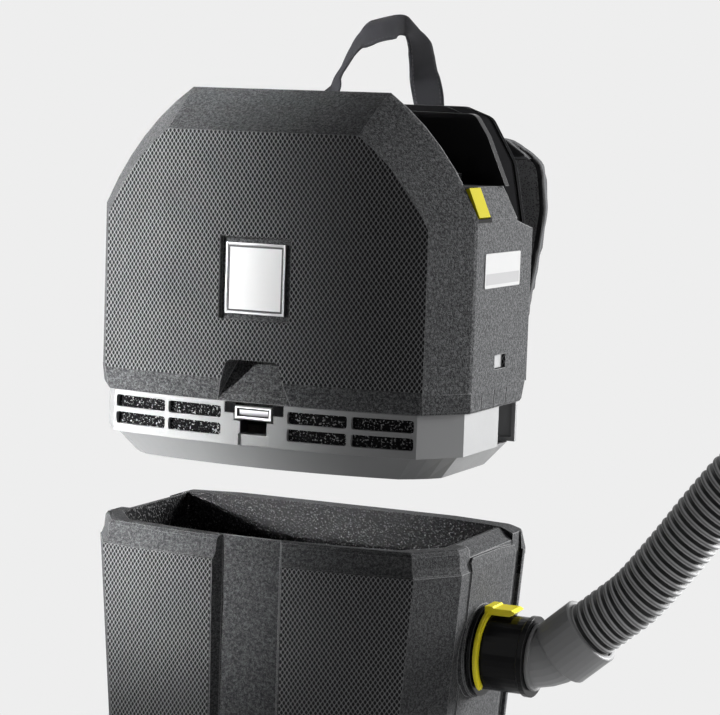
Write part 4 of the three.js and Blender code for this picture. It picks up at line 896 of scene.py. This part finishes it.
def sharp_loops(obj):
    """The mesh's sharp edges, chained into runs of points, the longest first."""
    bm = bmesh.new()
    bm.from_mesh(obj.data)
    bmesh.ops.remove_doubles(bm, verts=bm.verts, dist=0.01 * MM)
    bmesh.ops.dissolve_limit(bm, angle_limit=math.radians(1), verts=bm.verts, edges=bm.edges)
    sharp = (e for e in bm.edges if len(e.link_faces) == 2 and math.degrees(e.calc_face_angle()) > SHARP)
    left = dict.fromkeys(sharp)  # unlike a set, the same order each run
    loops = []
    while left:
        edge, _ = left.popitem()
        chain = [edge.verts[0], edge.verts[1]]
        while True:
            nexts = [e for e in chain[-1].link_edges if e in left]
            if not nexts:
                break
            del left[nexts[0]]
            chain.append(nexts[0].other_vert(chain[-1]))
        loops.append([v.co.copy() for v in chain])
    bm.free()
    return sorted(loops, key=lambda loop: -sum((b - a).length for a, b in zip(loop, loop[1:])))


def apply_modifiers(obj):
    """The mesh with its modifiers applied, keeping none of them."""
    bpy.context.view_layer.update()
    made = bpy.data.meshes.new_from_object(obj.evaluated_get(bpy.context.evaluated_depsgraph_get()))
    obj.modifiers.clear()
    obj.data = made


def inflate(obj):
    """Blows the mesh up from inside, as cloth without weight."""
    cloth = obj.modifiers.new("cloth", "CLOTH")
    cloth.settings.use_pressure = True
    cloth.settings.uniform_pressure_force = CLOTH_PRESSURE
    cloth.settings.effector_weights.gravity = 0
    cloth.point_cache.frame_end = CLOTH_STEPS
    for step in range(1, CLOTH_STEPS + 1):
        bpy.context.scene.frame_set(step)
    apply_modifiers(obj)
    bpy.context.scene.frame_set(1)


def swell(node, name, material, voxel, inset, cap, limit, depth_at):
    """A padded piece and its solid's sharp loops: a smaller copy of its CAD solid, blown up as cloth.

    No point moves farther than cap. limit(point) brings a point back into the solid's room, and
    depth_at(point) runs from 0 on the body's side to 1 outside.
    """
    obj = world_copy(node, name, material)
    loops = sharp_loops(obj)
    seams = tree_of([p for loop in loops for p in resample(loop, 2 * MM)])
    remesh = obj.modifiers.new("remesh", "REMESH")
    remesh.mode = "VOXEL"
    remesh.voxel_size = voxel
    apply_modifiers(obj)
    for vert, normal in [(v, v.normal.copy()) for v in obj.data.vertices]:
        vert.co -= normal * inset
    start = [v.co.copy() for v in obj.data.vertices]
    inflate(obj)
    for vert, before in zip(obj.data.vertices, start):
        moved = vert.co - before
        if moved.length > cap:
            vert.co = before + moved * (cap / moved.length)
        seam, _, away = seams.find(vert.co)
        if away < SEAM_REACH:
            vert.co = vert.co.lerp(seam, SEAM_PULL * (1 - away / SEAM_REACH))
        vert.co = limit(vert.co)
    smoother = obj.modifiers.new("smooth", "SUBSURF")
    smoother.levels = smoother.render_levels = 1
    apply_modifiers(obj)
    rim = obj.data.attributes.new("rim", "FLOAT", "POINT")
    depth = obj.data.attributes.new("depth", "FLOAT", "POINT")
    for i, vert in enumerate(obj.data.vertices):
        rim.data[i].value = seams.find(vert.co)[2]
        depth.data[i].value = depth_at(vert.co)
    obj.data.polygons.foreach_set("use_smooth", [True] * len(obj.data.polygons))
    obj.data.materials.clear()
    obj.data.materials.append(material)
    return obj, loops


def rim_of(obj, vert):
    """How far the vertex is from the nearest edge of its solid."""
    return obj.data.attributes["rim"].data[vert.index].value


# ---------------- piping
PIPING_SIDES = 8
PIPING_STEP = 3.5 * MM
PIPING_LAID = 4 * MM  # how far apart its points are laid on the surface


def ring_cord(name, loop, radius, material):
    """A round cord along a loop whose last point is its first."""
    line = resample(loop, PIPING_STEP)[:-1]
    verts = []
    for i, centre in enumerate(line):
        along = (line[(i + 1) % len(line)] - line[i - 1]).normalized()
        reference = Vector((0, 1, 0)) if abs(along.y) < 0.8 else Vector((1, 0, 0))
        side = along.cross(reference).normalized()
        up = side.cross(along)
        for k in range(PIPING_SIDES):
            angle = 2 * math.pi * k / PIPING_SIDES
            verts.append(centre + side * (radius * math.cos(angle)) + up * (radius * math.sin(angle)))
    return make_object(name, verts, skin(len(line), PIPING_SIDES, closed=True), material)


def piping(name, obj, loop, inward, radius, material, limit):
    """A cord sewn along an edge loop, laid on the swollen surface and pulled a little into its seam."""
    bm = bmesh.new()
    bm.from_mesh(obj.data)
    surface = BVHTree.FromBMesh(bm)
    bm.free()
    laid = []
    for point in resample(loop, PIPING_LAID):
        place, normal, _, _ = surface.find_nearest(point)
        laid.append(limit(place - normal * inward))
    for _ in range(3):
        laid = [(laid[i - 1] + laid[i] * 2 + laid[(i + 1) % len(laid)]) / 4 for i in range(len(laid))]
    cord = ring_cord(name, laid + [laid[0]], radius, material)
    cord.parent = obj


# ---------------- back pad
QUILT_CROSSINGS = (HEAD_LINE + 52 * MM, HEAD_LINE + 130 * MM)  # the channels across, at the spine
QUILT_SLOPE = 0.16
QUILT_REACH = 14 * MM  # the channels run out this near the edge


def groove(offset, half_width, depth):
    return math.exp(-((offset / half_width) ** 2)) * depth


def make_back_pad(materials):
    """The wearer's back pad: quilted mesh with a channel down the spine and two across, and two pipings."""
    def limit(point):
        return Vector((point.x, min(max(point.y, PAD_FRONT + 0.2 * MM), PAD_REAR - 0.3 * MM), point.z))

    def depth_at(point):
        return 0.0 if point.y > PAD_FRONT + 7 * MM else 0.5

    def piping_limit(point):
        return Vector((point.x, min(max(point.y, PAD_FRONT + 1.8 * MM), PAD_REAR - 1.8 * MM), point.z))

    pad, loops = swell(
        "back_pad", "back_pad_cloth", materials["mesh_fabric"],
        voxel=5 * MM, inset=3 * MM, cap=5 * MM, limit=limit, depth_at=depth_at)
    for vert in pad.data.vertices:
        x, y, z = vert.co
        if y < PAD_FRONT + 12 * MM:
            continue
        sunk = groove(x, 7 * MM, 6 * MM)
        for height in QUILT_CROSSINGS:
            sunk = max(sunk, groove(z - height - abs(x) * QUILT_SLOPE, 4.5 * MM, 5 * MM))
        vert.co.y -= sunk * min(1.0, rim_of(pad, vert) / QUILT_REACH)
    for word, loop in zip(("inner", "outer"), sorted(loops[:2], key=lambda loop: loop[0].y)):
        piping(f"back_pad_piping_{word}", pad, loop, 0.6 * MM, 1.5 * MM, materials["piping"], piping_limit)
    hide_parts("back_pad")
    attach(pad, "head")


# ---------------- shoulder straps
STRAP_ROUTE = [
    (117.2, 168), (120.6, 180), (130.6, 184), (140.6, 172), (144.6, 146), (143.6, 112), (137.6, 76),
    (129.6, 46), (122.6, 26),
]
STRAP_THICK = 11 * MM
STRAP_FOLD = 165 * MM  # the height of the fold at its top, where it creases most
FOLD_REACH = 35 * MM
CREASE_REACH = 12 * MM  # the creases run out this near the edge


def strap_line(x, points):
    """Points of the straps' route at that x, in the row frame."""
    return [Vector((x, y * MM, z * MM)) + HARNESS_LIFT for y, z in points]


def make_shoulder_strap(word, materials):
    """A padded strap, folded over at its top: mesh inside, cloth outside."""
    line = spline(strap_line(0, STRAP_ROUTE), 16)
    nearest = tree_of(line)

    def depth_at(point):
        flat = Vector((0, point.y, point.z))
        near, i, _ = nearest.find(flat)
        along = direction(line, i)
        inward = Vector((0, along.z, -along.y))
        return min(1.0, max(0.0, 0.5 - (flat - near).dot(inward) / STRAP_THICK))

    def limit(point):
        return Vector((point.x, max(point.y, PAD_REAR + 0.5 * MM), point.z))

    strap, _ = swell(
        f"shoulder_strap_{word}", f"shoulder_strap_{word}_cloth", materials["strap_cloth"],
        voxel=3 * MM, inset=0.7 * MM, cap=1.6 * MM, limit=limit, depth_at=depth_at)
    for vert in strap.data.vertices:
        crease = perlin(Vector((vert.co.x * 30, vert.co.y * 60, vert.co.z * 90)))
        near_fold = max(0.0, 1 - abs(vert.co.z - HEAD_LINE - STRAP_FOLD) / FOLD_REACH)
        calm = min(1.0, rim_of(strap, vert) / CREASE_REACH)
        vert.co += vert.normal * (calm * crease * (0.5 + 1.6 * near_fold) * MM)
        vert.co.y = max(vert.co.y, PAD_REAR + 0.4 * MM)
    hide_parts(f"shoulder_strap_{word}")
    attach(strap, "head")


# ---------------- webbing
WEBBING_WIDTH = 25 * MM
WEBBING_THICK = 2.4 * MM
WEBBING_HALF = (  # half its outline, of half width and half thickness 1
    (-1, 0), (-0.94, -0.7), (-0.8, -1), (-0.4, -0.86), (0, -0.84), (0.4, -0.86), (0.8, -1), (0.94, -0.7))
ACROSS = Vector((1, 0, 0))
COVER_THICK = 1.8 * MM
COVER_RAISED = 6.6 * MM  # how far the covering webbing lies off the strap's middle line
CARRY_ROUTE = [
    (-47, 0.2, 182), (-46.6, 1, 196), (-42, 6.2, 209.5), (-35.9, 8.9, 220.4), (-34.3, 9.9, 228.7),
    (-30.6, 10.7, 236), (-21.9, 9.7, 250.3), (-14.4, 10.4, 259.8), (-4.4, 8.9, 265.7),
    (13.2, 10.4, 270.4), (21.4, 10.9, 271), (29.5, 12.6, 266), (36.1, 11.9, 257.2), (38.8, 10.4, 248.1),
    (41.5, 9.2, 235.7), (44.1, 7.4, 227.8), (50.6, 1.7, 209.5), (52, 0.3, 196), (52, 0, 182),
]
CARRY_WIDTHS = [
    (1, 0, 0), (1, 0, 0), (0.93, -0.36, 0), (0.7, -0.71, 0), (0.59, -0.8, 0), (0.5, -0.86, -0.07),
    (0.62, -0.78, -0.05), (0.72, -0.67, -0.17), (0.7, -0.45, -0.55), (0.38, -0.52, -0.76),
    (0.4, -0.6, -0.69), (0.15, -0.9, -0.4), (-0.28, -0.86, -0.41), (-0.43, -0.8, -0.42),
    (-0.58, -0.76, -0.29), (-0.77, -0.57, -0.29), (-1, -0.06, 0), (-1, 0, 0), (-1, 0, 0),
]


def ribbon(name, node, route, widths, thick, material, steps):
    """Flat webbing through points, its width along the direction given at each; it replaces the node."""
    line = spline(route, steps)
    wide_line = [a.lerp(b, i / steps) for a, b in zip(widths, widths[1:]) for i in range(steps)]
    wide_line.append(widths[-1])
    outline = [*WEBBING_HALF, *((-u, -v) for u, v in WEBBING_HALF)]
    verts, along_values, across_values = [], [], []
    along = 0.0
    for i, centre in enumerate(line):
        if i:
            along += (centre - line[i - 1]).length
        tangent = direction(line, i)
        wide = (wide_line[i] - tangent * wide_line[i].dot(tangent)).normalized()
        deep = tangent.cross(wide)
        for u, v in outline:
            verts.append(centre + wide * (u * WEBBING_WIDTH / 2) + deep * (v * thick / 2))
            along_values.append(along)
            across_values.append(u * WEBBING_WIDTH / 2)
    obj = make_object(name, verts, skin(len(line), len(outline)), material)
    for key, values in (("along", along_values), ("across", across_values)):
        obj.data.attributes.new(key, "FLOAT", "POINT").data.foreach_set("value", values)
    if node:
        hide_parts(node)
    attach(obj, "head")


def make_carry_strap(materials):
    seat = Vector((0, PAD_REAR + 1.5 * MM, 0)) + HARNESS_LIFT
    ribbon(
        "carry_strap_webbing", "carry_strap", [Vector(p) * MM + seat for p in CARRY_ROUTE],
        [Vector(p) for p in CARRY_WIDTHS], WEBBING_THICK, materials["strap_twill"], 8)


def make_strap_webbing(word, side, materials):
    """The webbing that comes out under a shoulder strap, and the one sewn down the strap's outer face."""
    rear = PAD_REAR / MM
    hanging = strap_line(side * 113 * MM, [(rear + 3.6, 3.7), (rear + 2.4, -1.3), (rear + 1.5, -4)])
    ribbon(
        f"strap_webbing_{word}_weave", f"strap_webbing_{word}", hanging, [ACROSS] * len(hanging),
        WEBBING_THICK, materials["strap_twill"], 6)
    middle = strap_line(side * 112 * MM, STRAP_ROUTE[3:])
    raised = []
    for i, point in enumerate(middle):
        along = direction(middle, i)
        raised.append(point - Vector((0, along.z, -along.y)) * COVER_RAISED)
    ribbon(
        f"strap_cover_webbing_{word}", None, raised, [ACROSS] * len(raised), COVER_THICK,
        materials["strap_twill"], 10)


# ---------------- label
HEAD_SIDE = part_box("head_shell")[1].x
LABEL_LOW = Vector((HEAD_SIDE + 0.05 * MM, -19 * MM, HEAD_LINE + 75.6 * MM))
LABEL_HIGH = Vector((HEAD_SIDE + 0.75 * MM, 53 * MM, HEAD_LINE + 101.6 * MM))
LABEL_CORNER = 1.5 * MM
LABEL_BEVEL = 0.3 * MM
CORNER_STEPS = 4


def make_label():
    """The plate on the head's hose side, with rounded corners and a bevelled edge."""
    low, high = LABEL_LOW, LABEL_HIGH
    corners = ((high.y, high.z, 1, 1), (low.y, high.z, -1, 1), (low.y, low.z, -1, -1), (high.y, low.z, 1, -1))
    verts = []
    for depth, inset in ((low.x, 0.0), (high.x - LABEL_BEVEL, 0.0), (high.x, LABEL_BEVEL)):
        radius = LABEL_CORNER - inset
        for quarter, (y, z, side, up) in enumerate(corners):
            for step in range(CORNER_STEPS + 1):
                angle = math.radians(90) * (quarter + step / CORNER_STEPS)
                verts.append((
                    depth, y - side * LABEL_CORNER + radius * math.cos(angle),
                    z - up * LABEL_CORNER + radius * math.sin(angle)))
    faces = skin(3, len(verts) // 3)
    label = make_object("side_label", verts, faces, label_print(low, high), smooth=False)
    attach(label, "head")


# ---------------- the scene
bpy.context.scene.view_settings.view_transform = "Standard"
make_camera()
make_world()
spare(make_lamps(), make_floor())
materials = make_materials()
make_hose(materials)
make_back_pad(materials)
for word in ("left", "right"):
    make_shoulder_strap(word, materials)
make_carry_strap(materials)
for word, side in (("left", -1), ("right", 1)):
    make_strap_webbing(word, side, materials)
make_label()
dress_frame(materials)
